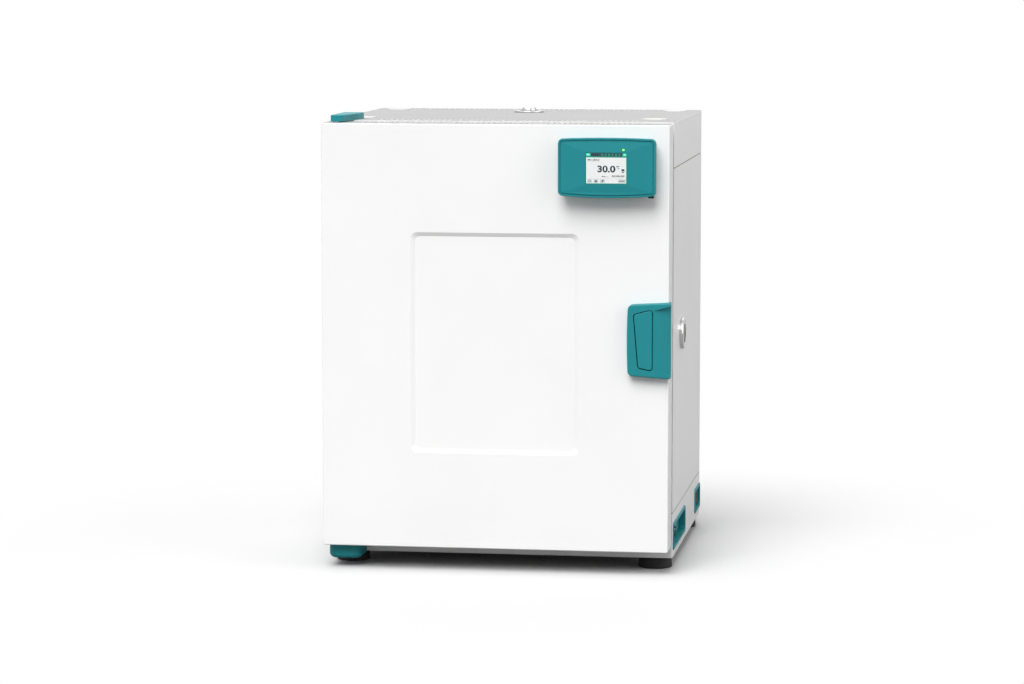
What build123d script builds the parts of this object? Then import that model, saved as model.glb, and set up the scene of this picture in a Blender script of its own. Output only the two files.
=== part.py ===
# Hot air drying oven, bench model of about 100 litres, with a side hinged door.
# Frame: X to the right, the door faces -Y, +Z up.
# The origin is the bottom centre of the whole oven, on the bench.
# Every size is in millimetres.

from build123d import *
from math import atan, cos, degrees, radians, sin
import os

os.makedirs("parts", exist_ok=True)

# Body
body_width = 602
body_height = 755
body_depth = 500
foot_height = 21
sheet = 1.2
stainless = 1.0
seam = 1.4
seat_gap = 0.3
edge_round = 0.8
base_height = 77.8
cap_height = 77.8
front_sill = 20

# Door
door_side_inset = 0.6
door_lift = 20.7
door_top_drop = 1.7
door_thickness = 58
door_gap = 14
door_corner = 3
door_edge_round = 2
door_wool_margin = 20
recess_width = 292
recess_height = 382.5
recess_bottom = 206.5
recess_shift = 0.5
recess_corner = 11
recess_depth = 3.5
recess_bevel = 7

# Controller on the door
controller_depth = 33
controller_back_depth = 22
controller_back_inset = 3
controller_width = 166.4
controller_height = 95.8
controller_bow_top = 2
controller_bow_bottom = 4
controller_corner = 8.5
controller_inset = 104
controller_drop = 70.4
controller_lead_hole = 20
controller_wall = 2.5
controller_face_wall = 5
controller_edge_round = 1.4
controller_groove_inset = 3.2
controller_groove_width = 1.8
controller_groove_depth = 1.8
controller_bulge = 1.2
controller_bulge_margin = 6
screen_width = 70.1
screen_height = 52.6
screen_shift = -0.7
screen_drop = 1.8
screen_rim = 1.2
screen_border = 2
glass_setback = 0.8
led_diameter = 3.6
led_flange = 0.5
led_offset_x = 28.4
led_offset_z = 29.7
running_fit = 0.05
loose_fit = 0.3

# Vent slots, the same row on the door and twice on the top cover
slot_width = 4.4
slot_length = 25
slot_pitch = 9.35
slot_count = 51
door_slot_setback = 34
front_slot_setback = 29
rear_slot_setback = 32

# Chamber
chamber_side_wall = 76
chamber_rise = 132
chamber_roof = 103
chamber_rear_space = 70
chamber_corner = 8
liner_flange = 12
plenum_depth = 46
baffle_side_gap = 6
baffle_end_gap = 7
intake_rings = 5
intake_ring_step = 12
intake_ring_holes = 6
intake_hole = 8
outlet_inset = 30
outlet_pitch = 24
outlet_count = 18
outlet_length = 30
outlet_width = 6
insulation_thickness = 42
side_insulation_setback = 25

# Feet and stacking pads
foot_bottom_diameter = 59
foot_top_diameter = 56
foot_inset_side = 33
foot_inset_front = 36
foot_inset_rear = 31
foot_edge_round = 2
foot_recess_diameter = 20
foot_recess_depth = 7
foot_bolt_diameter = 6
foot_bolt_head = 12
foot_bolt_head_height = 4
foot_bolt_end = 8
foot_nut_height = 5
pad_diameter = 44
pad_thickness = 1.6
pad_inset_side = 44
pad_inset_front = 94
pad_inset_rear = 64

# Hinges
hinge_inset_x = 20.5
hinge_inset_y = 40
pin_diameter = 8
pin_grip = 26
bush_diameter = 16
bush_flange_diameter = 24
bush_flange_thickness = 3
bush_wool_gap = 4
collar_diameter = 14
bracket_thickness = 3
bracket_nose_round = 15
bracket_foot_height = 8
bracket_foot_inset = 6
cover_wall = 2
upper_cover_width = 36.5
upper_cover_inset = 13.2
upper_cover_front = 18
upper_cover_length = 123
upper_cover_nose = 21
upper_cover_slant = 74
upper_cover_height = 11
upper_cover_round = 6
cover_edge_round = 1.5
lower_cover_width = 59
lower_cover_inset = 4.6
lower_cover_reach = 52
lower_cover_height = 24
lower_cover_drop = 6
lower_cover_round = 8

# Handle and latch
handle_depth = 16
handle_inset = 70.8
handle_proud = 3.6
handle_drop = 64.3
handle_height = 130.2
handle_taper_top = 4.1
handle_taper_bottom = 4.8
handle_bow = 1.6
handle_corner = 9
handle_edge_round = 2.4
handle_wrap = 9
handle_wrap_lap = 4
handle_wrap_corner = 3
scoop_depth = 14
scoop_gap = 1.5
scoop_start_depth = 0.2
scoop_start_inset = 1
scoop_mid_share = 0.42
scoop_mid_drop = 4
scoop_mid_rise = 3
scoop_end_bottom = 6
scoop_end_top = 5
scoop_over = 1
lever_inset_top = 59
lever_inset_bottom = 51.1
lever_inset_right = 27.6
lever_rise_left = 45.3
lever_rise_right = 53.4
lever_drop_left = 45.2
lever_drop_right = 50
lever_thickness = 4
lever_corner = 4.5
lever_groove = 1.5
lever_pocket_depth = 12
lever_axis_inset = 47.5
lever_axis_depth = 4
lever_hub_diameter = 7
lever_pin_diameter = 3
lever_pin_below = 10
lever_pin_above = 8
lever_pin_end_play = 1
lever_hub_inset = 1.5
lever_hub_rise = 1
lever_edge_round = 0.8
finger_thickness = 2.5
finger_reach = 23
finger_height = 10
finger_play = 2
finger_slot_width = 17
finger_slot_shift = 2.5
finger_root = 4
latch_rise = 366.3
latch_axis_inset = 42
latch_axis_depth = 35
latch_pin_diameter = 5
latch_hub_diameter = 14
latch_thickness = 14
latch_arm_width = 8
latch_arm_reach = 53
latch_nose = 8
latch_tail_width = 4.5
latch_tail_reach = 30
latch_play = 0.5
latch_clearance = 1.6
latch_slot_play = 1
case_height = 40
case_width = 36
case_depth = 47
case_wall = 1.5
keeper_width = 11
keeper_thickness = 5.3
keeper_slot_play = 3

# Exhaust vent on the top cover
vent_rear_inset = 152
vent_pipe_diameter = 40
vent_pipe_wall = 2
vent_flange_diameter = 55
vent_flange_height = 4
vent_bridge_drop = 8
vent_bridge_thickness = 2
vent_knob_diameter = 27
vent_knob_height = 10
vent_stem_diameter = 5
vent_hole_count = 4
vent_hole_diameter = 10
vent_hole_ring = 21
damper_thickness = 2

# Access port in the right side
port_setback = 131
port_rise = 379
port_bore = 34
port_tube_wall = 2.5
port_ring_diameter = 56
port_ring_proud = 7
port_plug_recess = 3

# Grip pockets in the lower sides
pocket_depth = 10
pocket_wall = 2
pocket_rim = 4
pocket_proud = 2
pocket_corner = 7
front_pocket_setback = 8
front_pocket_length = 210
front_pocket_rise = 12
front_pocket_height = 48
rear_pocket_rear_gap = 2
rear_pocket_length = 97
rear_pocket_rise = 12.5
rear_pocket_height = 46

# Power switch and limiter dial in the right front pocket
control_setback = 121.5
switch_rise = 36
switch_length = 32
switch_height = 9
switch_lip = 1.2
switch_proud = 2.5
switch_body_depth = 18
switch_floor = 4
rocker_length = 24
rocker_height = 4.4
rocker_tilt = 7
dial_rise = 24.5
dial_diameter = 11
dial_thickness = 3
dial_shaft = 5
dial_shaft_length = 14
dial_bore = 16
dial_mark_inset = 2
dial_mark_width = 2.5
dial_mark_depth = 1.5
thermostat_length = 36
thermostat_height = 15
thermostat_depth = 24
cap_length = 24
cap_tall = 22
cap_rear_inset = 29
cap_rise = 33.5

# Shelves and their racks
rack_post_width = 14
rack_post_thickness = 2
rack_post_inset = 40
rack_rail_depth = 12
rack_rail_thickness = 1.5
rack_levels = 5
rack_first = 75
rack_top_space = 85
shelf_wire = 6
shelf_mesh_wire = 3
shelf_mesh_count = 15
shelf_rear_gap = 8
shelf_front_gap = 21
shelf_side_gap = 5
lower_shelf_level = 1
upper_shelf_level = 3

# Fan, heater and sensor
fan_diameter = 150
fan_width = 26
fan_blades = 12
fan_blade_thickness = 1.5
fan_hub_diameter = 24
fan_hub_drop = 6
fan_bore_stop = 8
fan_blade_ring = 0.34
fan_blade_share = 0.26
fan_blade_turn = 25
shaft_end = 8
fan_shaft_diameter = 8
motor_diameter = 80
motor_length = 42
motor_bore_wall = 6
motor_wool_gap = 4
motor_plate = 96
motor_plate_thickness = 2
motor_plate_corner = 8
motor_standoff = 16
motor_post = 8
motor_post_inset = 8
heater_radius = 100
heater_tube = 8
heater_opening = 40
sensor_diameter = 5
sensor_side_inset = 75
sensor_drop = 50
sensor_reach = 45

# Rear cover, inlet and board
rear_cover_depth = 13
rear_cover_width = 180
rear_cover_height = 200
rear_cover_slots = 9
rear_cover_slot_pitch = 14
rear_cover_slot_length = 100
rear_cover_slot_width = 5
inlet_inset = 101
inlet_rise = 40
inlet_width = 50
inlet_height = 34
inlet_depth = 30
inlet_cavity_width = 26
inlet_cavity_height = 18
inlet_cavity_depth = 18
inlet_corner = 3
inlet_flange = 3
inlet_lip = 4
inlet_blade = 9
inlet_blade_width = 2
inlet_blade_height = 5
inlet_blade_spread = 7
inlet_blade_drop = 3
board_length = 180
board_width = 120
board_x = 60
board_shift_y = 14
board_standoff = 10
board_thickness = 1.6
board_post = 8
board_post_inset = 7
board_part_height = 32
transformer_setback = 40
transformer_length = 48
transformer_width = 42
relay_setback = 95
relay_size = 28
relay_rear_inset = 45
filter_length = 20
filter_width = 16
filter_front_inset = 32
terminal_inset = 30
terminal_count = 8
terminal_pitch = 12
terminal_length = 16
terminal_width = 10
terminal_height = 14
screw_diameter = 4
cover_screw_inset = 14
screw_head = 8
screw_head_height = 2

# Places worked out from the sizes above
half_width = body_width / 2
overall_depth = controller_depth + door_thickness + door_gap + body_depth + rear_cover_depth
door_front = controller_depth - overall_depth / 2
door_back = door_front + door_thickness
body_front = door_back + door_gap
body_back = body_front + body_depth
body_mid_y = (body_front + body_back) / 2
body_bottom = foot_height
body_top = foot_height + body_height
base_top = body_bottom + base_height
cap_bottom = body_top - cap_height
door_bottom = body_bottom + door_lift
door_top = body_top - door_top_drop
door_height = door_top - door_bottom
door_mid_z = (door_top + door_bottom) / 2
door_width = body_width - 2 * door_side_inset
door_half = door_width / 2
chamber_width = body_width - 2 * chamber_side_wall
chamber_depth = body_depth - chamber_rear_space
chamber_height = body_height - chamber_rise - chamber_roof
chamber_floor = body_bottom + chamber_rise
chamber_top = chamber_floor + chamber_height
chamber_mid_z = (chamber_floor + chamber_top) / 2
liner_front = body_front + sheet
liner_back = body_front + chamber_depth
baffle_front = liner_back - plenum_depth
hinge_x = hinge_inset_x - door_half
hinge_y = door_front + hinge_inset_y
foot_x = half_width - foot_inset_side
foot_front_y = body_front + foot_inset_front
foot_rear_y = body_back - foot_inset_rear
foot_mid_y = (foot_front_y + foot_rear_y) / 2
foot_spacing_y = foot_rear_y - foot_front_y
vent_y = body_back - vent_rear_inset
port_y = body_front + port_setback
port_z = body_bottom + port_rise
inside_half = half_width - sheet
fan_z = chamber_mid_z
sensor_x = chamber_width / 2 - sensor_side_inset
sensor_z = chamber_top - sensor_drop
rack_pitch = (chamber_height - rack_first - rack_top_space) / (rack_levels - 1)
shelf_depth = baffle_front - shelf_rear_gap - body_front - shelf_front_gap
front_pocket_bottom = body_bottom + front_pocket_rise
rear_pocket_bottom = body_bottom + rear_pocket_rise
rear_pocket_setback = body_depth - rear_pocket_rear_gap - rear_pocket_length
control_y = body_front + control_setback
switch_z = body_bottom + switch_rise
dial_z = body_bottom + dial_rise
cap_y = body_back - cap_rear_inset
cap_z = body_bottom + cap_rise
inlet_x = inlet_inset - half_width
inlet_z = body_bottom + inlet_rise
board_y = body_mid_y + board_shift_y
controller_x = half_width - controller_inset
controller_z = door_top - controller_drop
screen_z = controller_z - screen_drop
led_x = controller_x + led_offset_x
led_z = controller_z + led_offset_z
latch_z = door_bottom + latch_rise
latch_axis_x = half_width - latch_axis_inset
handle_left = half_width - handle_inset
handle_bottom = latch_z - handle_drop
lever_axis_x = half_width - lever_axis_inset
lever_left_top = half_width - lever_inset_top
lever_left_bottom = half_width - lever_inset_bottom
lever_right = half_width - lever_inset_right
lever_top_left = latch_z + lever_rise_left
lever_top_right = latch_z + lever_rise_right
lever_bottom_left = latch_z - lever_drop_left
lever_bottom_right = latch_z - lever_drop_right
lever_pin_bottom = lever_bottom_left - lever_pin_below
lever_pin_top = lever_top_left + lever_pin_above
finger_x = lever_axis_x - finger_thickness / 2 - latch_play
finger_slot_x = lever_axis_x + finger_slot_shift
keeper_slot_height = latch_thickness + 2 * keeper_slot_play
latch_slot_height = latch_thickness + 2 * latch_slot_play
motor_hole = motor_plate + 2 * motor_wool_gap


def front_plane(y):
    """Plane facing the front: local x is X, local y is Z, extruding goes to -Y."""
    return Plane.XZ.offset(-y)


def side_plane(x):
    """Plane facing right: local x is Y, local y is Z, extruding goes to +X."""
    return Plane.YZ.offset(x)


def floor_plane(z):
    """Level plane: local x is X, local y is Y, extruding goes up."""
    return Plane.XY.offset(z)


def vent_slots():
    """One row of slots for the sketch that is open."""
    with GridLocations(slot_pitch, 0, slot_count, 1):
        SlotOverall(slot_length, slot_width, rotation=90)


# Base pan with its four pocket windows
pocket_window_trim = 2 * (pocket_rim - loose_fit)
front_pocket_y = body_front + front_pocket_setback + front_pocket_length / 2
rear_pocket_y = body_front + rear_pocket_setback + rear_pocket_length / 2
front_pocket_z = front_pocket_bottom + front_pocket_height / 2
rear_pocket_z = rear_pocket_bottom + rear_pocket_height / 2

with BuildPart() as base_pan:
    with BuildSketch(floor_plane(body_bottom)):
        with Locations((0, body_mid_y)):
            Rectangle(body_width, body_depth)
    extrude(amount=base_height)
    fillet(base_pan.edges().filter_by(Axis.Z), edge_round)
    with BuildSketch(floor_plane(body_bottom + sheet)):
        with Locations((0, body_mid_y)):
            Rectangle(2 * inside_half, body_depth - 2 * sheet)
    extrude(amount=base_height, mode=Mode.SUBTRACT)
    with BuildSketch(front_plane(body_front + sheet)):
        with Locations((0, base_top)):
            Rectangle(2 * inside_half, 2 * (base_height - front_sill))
    extrude(amount=2 * sheet, mode=Mode.SUBTRACT)
    with BuildSketch(side_plane(-half_width)):
        with Locations((front_pocket_y, front_pocket_z)):
            RectangleRounded(
                front_pocket_length - pocket_window_trim,
                front_pocket_height - pocket_window_trim,
                pocket_corner,
            )
        with Locations((rear_pocket_y, rear_pocket_z)):
            RectangleRounded(
                rear_pocket_length - pocket_window_trim,
                rear_pocket_height - pocket_window_trim,
                pocket_corner,
            )
    extrude(amount=body_width, mode=Mode.SUBTRACT)
    with BuildSketch(floor_plane(body_bottom)):
        with Locations((0, foot_mid_y)):
            with GridLocations(2 * foot_x, foot_spacing_y, 2, 2):
                Circle(foot_bolt_diameter / 2 + loose_fit)
        with Locations((0, body_mid_y)):
            with GridLocations(16, 120, 12, 2):
                SlotOverall(60, 5, rotation=90)
    extrude(amount=sheet, mode=Mode.SUBTRACT)
    with BuildSketch(front_plane(body_back)):
        with Locations((inlet_x, inlet_z)):
            Rectangle(inlet_width - 8 + 2 * loose_fit, inlet_height - 8 + 2 * loose_fit)
    extrude(amount=sheet, mode=Mode.SUBTRACT)
base_pan.part.label = "base_pan"
export_step(base_pan.part, "parts/base_pan.step")


# Side panels with folded front and rear edges
panel_bottom = base_top + seam
panel_height = cap_bottom - seam - panel_bottom
flange_width = 15


def side_panel(side, port_radius=0):
    """Flat side sheet with its front and rear folds, and a port hole where one is wanted."""
    wall_x = side * (half_width - sheet / 2)
    fold_x = side * (inside_half - flange_width / 2)
    with BuildPart() as panel:
        with BuildSketch(floor_plane(panel_bottom)):
            with Locations((wall_x, body_mid_y)):
                Rectangle(sheet, body_depth)
            with Locations(
                (fold_x, body_front + sheet * 1.5 + seat_gap),
                (fold_x, body_back - sheet * 1.5 - seat_gap),
            ):
                Rectangle(flange_width, sheet)
        extrude(amount=panel_height)
        if port_radius:
            with BuildSketch(side_plane(side * inside_half)):
                with Locations((port_y, port_z)):
                    Circle(port_radius)
            extrude(amount=side * sheet, mode=Mode.SUBTRACT)
    return panel


left_side_panel = side_panel(-1)
left_side_panel.part.label = "left_side_panel"
export_step(left_side_panel.part, "parts/left_side_panel.step")

port_tube_radius = port_bore / 2 + port_tube_wall
right_side_panel = side_panel(1, port_tube_radius + loose_fit)
right_side_panel.part.label = "right_side_panel"
export_step(right_side_panel.part, "parts/right_side_panel.step")


# Top cover with two rows of vent slots and the exhaust hole
vent_pipe_radius = vent_pipe_diameter / 2

with BuildPart() as top_cover:
    with BuildSketch(floor_plane(cap_bottom)):
        with Locations((0, body_mid_y)):
            Rectangle(body_width, body_depth)
    extrude(amount=cap_height)
    fillet(top_cover.edges().filter_by(Axis.Z), edge_round)
    fillet(top_cover.faces().sort_by(Axis.Z)[-1].edges(), edge_round)
    with BuildSketch(floor_plane(cap_bottom)):
        with Locations((0, body_mid_y)):
            Rectangle(2 * inside_half, body_depth - 2 * sheet)
    extrude(amount=cap_height - sheet, mode=Mode.SUBTRACT)
    with BuildSketch(front_plane(body_front + sheet)):
        with Locations((0, cap_bottom)):
            Rectangle(2 * inside_half, 2 * (cap_height - sheet))
    extrude(amount=2 * sheet, mode=Mode.SUBTRACT)
    with BuildSketch(floor_plane(body_top)):
        with Locations((0, body_front + front_slot_setback), (0, body_back - rear_slot_setback)):
            vent_slots()
        with Locations((0, vent_y)):
            Circle(vent_pipe_radius + loose_fit)
    extrude(amount=-sheet, mode=Mode.SUBTRACT)
top_cover.part.label = "top_cover"
export_step(top_cover.part, "parts/top_cover.step")


# Rear panel and the shallow cover over the fan motor
motor_window = rear_cover_width - 50
rear_screw_x = inside_half - flange_width / 2
rear_screw_rows = 4
rear_screw_pitch = 190

with BuildPart() as rear_panel:
    with BuildSketch(front_plane(body_back)):
        with Locations((0, panel_bottom + panel_height / 2)):
            Rectangle(2 * (inside_half - seat_gap), panel_height)
            with GridLocations(2 * rear_screw_x, rear_screw_pitch, 2, rear_screw_rows):
                Circle(screw_diameter / 2 + loose_fit, mode=Mode.SUBTRACT)
        with Locations((0, fan_z)):
            Rectangle(motor_window, motor_window, mode=Mode.SUBTRACT)
    extrude(amount=sheet)
rear_panel.part.label = "rear_panel"
export_step(rear_panel.part, "parts/rear_panel.step")

with BuildPart() as rear_cover:
    with BuildSketch(front_plane(body_back)):
        with Locations((0, fan_z)):
            RectangleRounded(rear_cover_width, rear_cover_height, 6)
    extrude(amount=-rear_cover_depth)
    chamfer(rear_cover.faces().sort_by(Axis.Y)[-1].edges(), 3)
    with BuildSketch(front_plane(body_back)):
        with Locations((0, fan_z)):
            RectangleRounded(rear_cover_width - 2 * sheet, rear_cover_height - 2 * sheet, 5)
    extrude(amount=-(rear_cover_depth - sheet - 2), mode=Mode.SUBTRACT)
    with BuildSketch(front_plane(body_back)):
        with Locations((0, fan_z)):
            with GridLocations(0, rear_cover_slot_pitch, 1, rear_cover_slots):
                SlotOverall(rear_cover_slot_length, rear_cover_slot_width)
    extrude(amount=-rear_cover_depth, mode=Mode.SUBTRACT)
rear_cover.part.label = "rear_cover"
export_step(rear_cover.part, "parts/rear_cover.step")


# Front frame around the chamber mouth, with the latch slot
frame_bottom = body_bottom + front_sill + seat_gap
frame_top = body_top - sheet - seat_gap
frame_slot_left = latch_axis_x - 16
frame_slot_right = latch_axis_x + latch_arm_width / 2 + latch_nose + 3

with BuildPart() as front_frame:
    with BuildSketch(front_plane(body_front + sheet)):
        with Locations((0, (frame_bottom + frame_top) / 2)):
            Rectangle(2 * (inside_half - seat_gap), frame_top - frame_bottom)
        with Locations((0, chamber_mid_z)):
            RectangleRounded(chamber_width, chamber_height, chamber_corner, mode=Mode.SUBTRACT)
        with Locations(((frame_slot_left + frame_slot_right) / 2, latch_z)):
            Rectangle(frame_slot_right - frame_slot_left, keeper_slot_height, mode=Mode.SUBTRACT)
    extrude(amount=sheet)
front_frame.part.label = "front_frame"
export_step(front_frame.part, "parts/front_frame.step")


# Chamber liner, open to the front, with holes for what passes its walls
leg_angle = radians(heater_opening / 2)
leg_x = heater_radius * sin(leg_angle)
leg_z = fan_z - heater_radius * cos(leg_angle)

with BuildPart() as chamber_liner:
    with BuildSketch(front_plane(liner_front)):
        with Locations((0, chamber_mid_z)):
            RectangleRounded(
                chamber_width + 2 * stainless,
                chamber_height + 2 * stainless,
                chamber_corner + stainless,
            )
    extrude(amount=-(liner_back + stainless - liner_front))
    with BuildSketch(front_plane(liner_front)):
        with Locations((0, chamber_mid_z)):
            RectangleRounded(
                chamber_width + 2 * liner_flange,
                chamber_height + 2 * liner_flange,
                chamber_corner,
            )
    extrude(amount=-stainless)
    with BuildSketch(front_plane(liner_front)):
        with Locations((0, chamber_mid_z)):
            RectangleRounded(chamber_width, chamber_height, chamber_corner)
    extrude(amount=-(liner_back - liner_front), mode=Mode.SUBTRACT)
    with BuildSketch(side_plane(chamber_width / 2)):
        with Locations((port_y, port_z)):
            Circle(port_tube_radius + loose_fit)
    extrude(amount=stainless, mode=Mode.SUBTRACT)
    with BuildSketch(floor_plane(chamber_top)):
        with Locations((0, vent_y)):
            Circle(vent_pipe_radius + loose_fit)
    extrude(amount=stainless, mode=Mode.SUBTRACT)
    with BuildSketch(front_plane(liner_back)):
        with Locations((0, fan_z)):
            Circle(fan_shaft_diameter / 2 + 2)
        with Locations((leg_x, leg_z), (-leg_x, leg_z)):
            Circle(heater_tube / 2 + loose_fit)
        with Locations((sensor_x, sensor_z)):
            Circle(sensor_diameter / 2 + loose_fit)
    extrude(amount=-stainless, mode=Mode.SUBTRACT)
chamber_liner.part.label = "chamber_liner"
export_step(chamber_liner.part, "parts/chamber_liner.step")


# Mineral wool slabs round the liner
liner_half = chamber_width / 2 + stainless
wool_side_inner = liner_half + seat_gap
wool_side_outer = inside_half - seat_gap
wool_side_front = body_front + side_insulation_setback
wool_side_back = liner_back + stainless
wool_bottom = chamber_floor - stainless - seat_gap - insulation_thickness
wool_top = chamber_top + stainless + seat_gap + insulation_thickness

with BuildPart() as side_insulation:
    with BuildSketch(floor_plane(wool_bottom)):
        with Locations(
            ((wool_side_inner + wool_side_outer) / 2, (wool_side_front + wool_side_back) / 2),
            (-(wool_side_inner + wool_side_outer) / 2, (wool_side_front + wool_side_back) / 2),
        ):
            Rectangle(wool_side_outer - wool_side_inner, wool_side_back - wool_side_front)
    extrude(amount=wool_top - wool_bottom)
    with BuildSketch(side_plane(0)):
        with Locations((port_y, port_z)):
            Circle(port_tube_radius + loose_fit)
    extrude(amount=half_width, mode=Mode.SUBTRACT)
side_insulation.part.label = "side_insulation"
export_step(side_insulation.part, "parts/side_insulation.step")

with BuildPart() as upper_insulation:
    with BuildSketch(floor_plane(wool_top - insulation_thickness)):
        with Locations((0, (wool_side_front + wool_side_back) / 2)):
            Rectangle(2 * liner_half, wool_side_back - wool_side_front)
        with Locations((0, vent_y)):
            Circle(vent_pipe_radius + loose_fit, mode=Mode.SUBTRACT)
    extrude(amount=insulation_thickness)
upper_insulation.part.label = "upper_insulation"
export_step(upper_insulation.part, "parts/upper_insulation.step")

with BuildPart() as lower_insulation:
    with BuildSketch(floor_plane(wool_bottom)):
        with Locations((0, (wool_side_front + wool_side_back) / 2)):
            Rectangle(2 * liner_half, wool_side_back - wool_side_front)
    extrude(amount=insulation_thickness)
lower_insulation.part.label = "lower_insulation"
export_step(lower_insulation.part, "parts/lower_insulation.step")

wool_rear_front = liner_back + stainless + seat_gap

with BuildPart() as rear_insulation:
    with BuildSketch(front_plane(wool_rear_front)):
        with Locations((0, (wool_top + wool_bottom) / 2)):
            Rectangle(2 * wool_side_outer, wool_top - wool_bottom)
        with Locations((0, fan_z)):
            Rectangle(motor_hole, motor_hole, mode=Mode.SUBTRACT)
        with Locations((leg_x, leg_z), (-leg_x, leg_z)):
            Circle(heater_tube, mode=Mode.SUBTRACT)
        with Locations((sensor_x, sensor_z)):
            Circle(sensor_diameter * 2, mode=Mode.SUBTRACT)
    extrude(amount=-insulation_thickness)
rear_insulation.part.label = "rear_insulation"
export_step(rear_insulation.part, "parts/rear_insulation.step")


# Rear baffle: fan intake in the middle, outlet slots down both sides
baffle_width = chamber_width - 2 * baffle_side_gap
baffle_height = chamber_height - 2 * baffle_end_gap

with BuildPart() as rear_baffle:
    with BuildSketch(front_plane(baffle_front)):
        with Locations((0, chamber_mid_z)):
            Rectangle(baffle_width, baffle_height)
    extrude(amount=-plenum_depth)
    with BuildSketch(front_plane(baffle_front + stainless)):
        with Locations((0, chamber_mid_z)):
            Rectangle(baffle_width - 2 * stainless, baffle_height)
    extrude(amount=-plenum_depth, mode=Mode.SUBTRACT)
    with BuildSketch(front_plane(baffle_front)):
        with Locations((0, fan_z)):
            for ring in range(1, intake_rings + 1):
                with PolarLocations(ring * intake_ring_step, ring * intake_ring_holes):
                    Circle(intake_hole / 2)
            Circle(intake_hole / 2)
        for row_x in (-1, 1):
            with Locations((row_x * (baffle_width / 2 - outlet_inset), chamber_mid_z)):
                with GridLocations(0, outlet_pitch, 1, outlet_count):
                    SlotOverall(outlet_length, outlet_width)
        with Locations((sensor_x, sensor_z)):
            Circle(sensor_diameter / 2 + loose_fit)
    extrude(amount=-stainless, mode=Mode.SUBTRACT)
rear_baffle.part.label = "rear_baffle"
export_step(rear_baffle.part, "parts/rear_baffle.step")


# Shelf racks: posts on the liner walls with runners between them
rack_front = body_front + 25
rack_back = baffle_front - 6
rack_mid_y = (rack_front + rack_back) / 2
rack_length = rack_back - rack_front
rail_inner = chamber_width / 2 - rack_post_thickness - rack_rail_depth
rack_post_height = chamber_height - 2 * chamber_corner - 4


def rail_top(level):
    """Height of a runner's upper face."""
    return chamber_floor + rack_first + rack_pitch * level


with BuildPart() as shelf_racks:
    for side in (-1, 1):
        post_x = side * (chamber_width / 2 - rack_post_thickness / 2)
        with BuildSketch(floor_plane(chamber_floor + chamber_corner)):
            with Locations((post_x, rack_front + rack_post_inset), (post_x, rack_back - rack_post_inset)):
                Rectangle(rack_post_thickness, rack_post_width)
        extrude(amount=rack_post_height)
        for level in range(rack_levels):
            with BuildSketch(floor_plane(rail_top(level))):
                with Locations((side * (rail_inner + rack_rail_depth / 2), rack_mid_y)):
                    Rectangle(rack_rail_depth, rack_length)
            extrude(amount=-rack_rail_thickness)
            with BuildSketch(floor_plane(rail_top(level) - rack_rail_thickness)):
                with Locations(
                    (side * (rail_inner + rack_rail_depth - rack_rail_thickness / 2), rack_mid_y)
                ):
                    Rectangle(rack_rail_thickness, rack_length)
            extrude(amount=-rack_rail_depth)
shelf_racks.part.label = "shelf_racks"
export_step(shelf_racks.part, "parts/shelf_racks.step")


# Wire shelves
shelf_half = chamber_width / 2 - shelf_side_gap
shelf_front = body_front + shelf_front_gap
shelf_mid_y = shelf_front + shelf_depth / 2
shelf_rod = shelf_wire / 2


def wire_shelf(level):
    """Rod frame with cross wires on it, lying on the runners of one level."""
    rod_z = rail_top(level) + seat_gap + shelf_rod
    inner_half = shelf_half - shelf_rod
    inner_depth = shelf_depth - shelf_wire
    with BuildPart() as shelf:
        with BuildSketch(floor_plane(rod_z - shelf_rod)):
            with Locations((0, shelf_mid_y)):
                RectangleRounded(2 * shelf_half, shelf_depth, 14)
                RectangleRounded(
                    2 * (shelf_half - shelf_wire), shelf_depth - 2 * shelf_wire, 8, mode=Mode.SUBTRACT
                )
        extrude(amount=shelf_wire)
        fillet(shelf.edges().group_by(Axis.Z)[0], shelf_rod * 0.8)
        fillet(shelf.edges().group_by(Axis.Z)[-1], shelf_rod * 0.8)
        with BuildSketch(front_plane(shelf_mid_y + inner_depth / 2)):
            with Locations((0, rod_z)):
                with GridLocations(2 * inner_half / (shelf_mesh_count + 1), 0, shelf_mesh_count, 1):
                    Circle(shelf_mesh_wire / 2)
        extrude(amount=inner_depth)
        with BuildSketch(side_plane(-inner_half)):
            with Locations((shelf_mid_y, rod_z)):
                with GridLocations(inner_depth / 3, 0, 2, 1):
                    Circle(shelf_mesh_wire / 2)
        extrude(amount=2 * inner_half)
    return shelf


lower_shelf = wire_shelf(lower_shelf_level)
lower_shelf.part.label = "lower_shelf"
export_step(lower_shelf.part, "parts/lower_shelf.step")

upper_shelf = wire_shelf(upper_shelf_level)
upper_shelf.part.label = "upper_shelf"
export_step(upper_shelf.part, "parts/upper_shelf.step")


# Fan wheel, shaft and motor
fan_back = liner_back - 8
fan_front = fan_back - fan_width
motor_front = liner_back + stainless + motor_standoff
shaft_radius = fan_shaft_diameter / 2

with BuildPart() as fan_wheel:
    with BuildSketch(front_plane(fan_back)):
        with Locations((0, fan_z)):
            Circle(fan_diameter / 2)
    extrude(amount=fan_blade_thickness)
    with BuildSketch(front_plane(fan_back)):
        with Locations((0, fan_z)):
            Circle(fan_hub_diameter / 2)
    extrude(amount=fan_width - fan_hub_drop)
    with BuildSketch(front_plane(fan_back)):
        with Locations((0, fan_z)):
            with PolarLocations(fan_diameter * fan_blade_ring, fan_blades):
                Rectangle(fan_diameter * fan_blade_share, fan_blade_thickness, rotation=fan_blade_turn)
    extrude(amount=fan_width)
    with BuildSketch(front_plane(fan_back)):
        with Locations((0, fan_z)):
            Circle(shaft_radius)
    extrude(amount=fan_width - fan_bore_stop, mode=Mode.SUBTRACT)
fan_wheel.part.label = "fan_wheel"
export_step(fan_wheel.part, "parts/fan_wheel.step")

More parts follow.
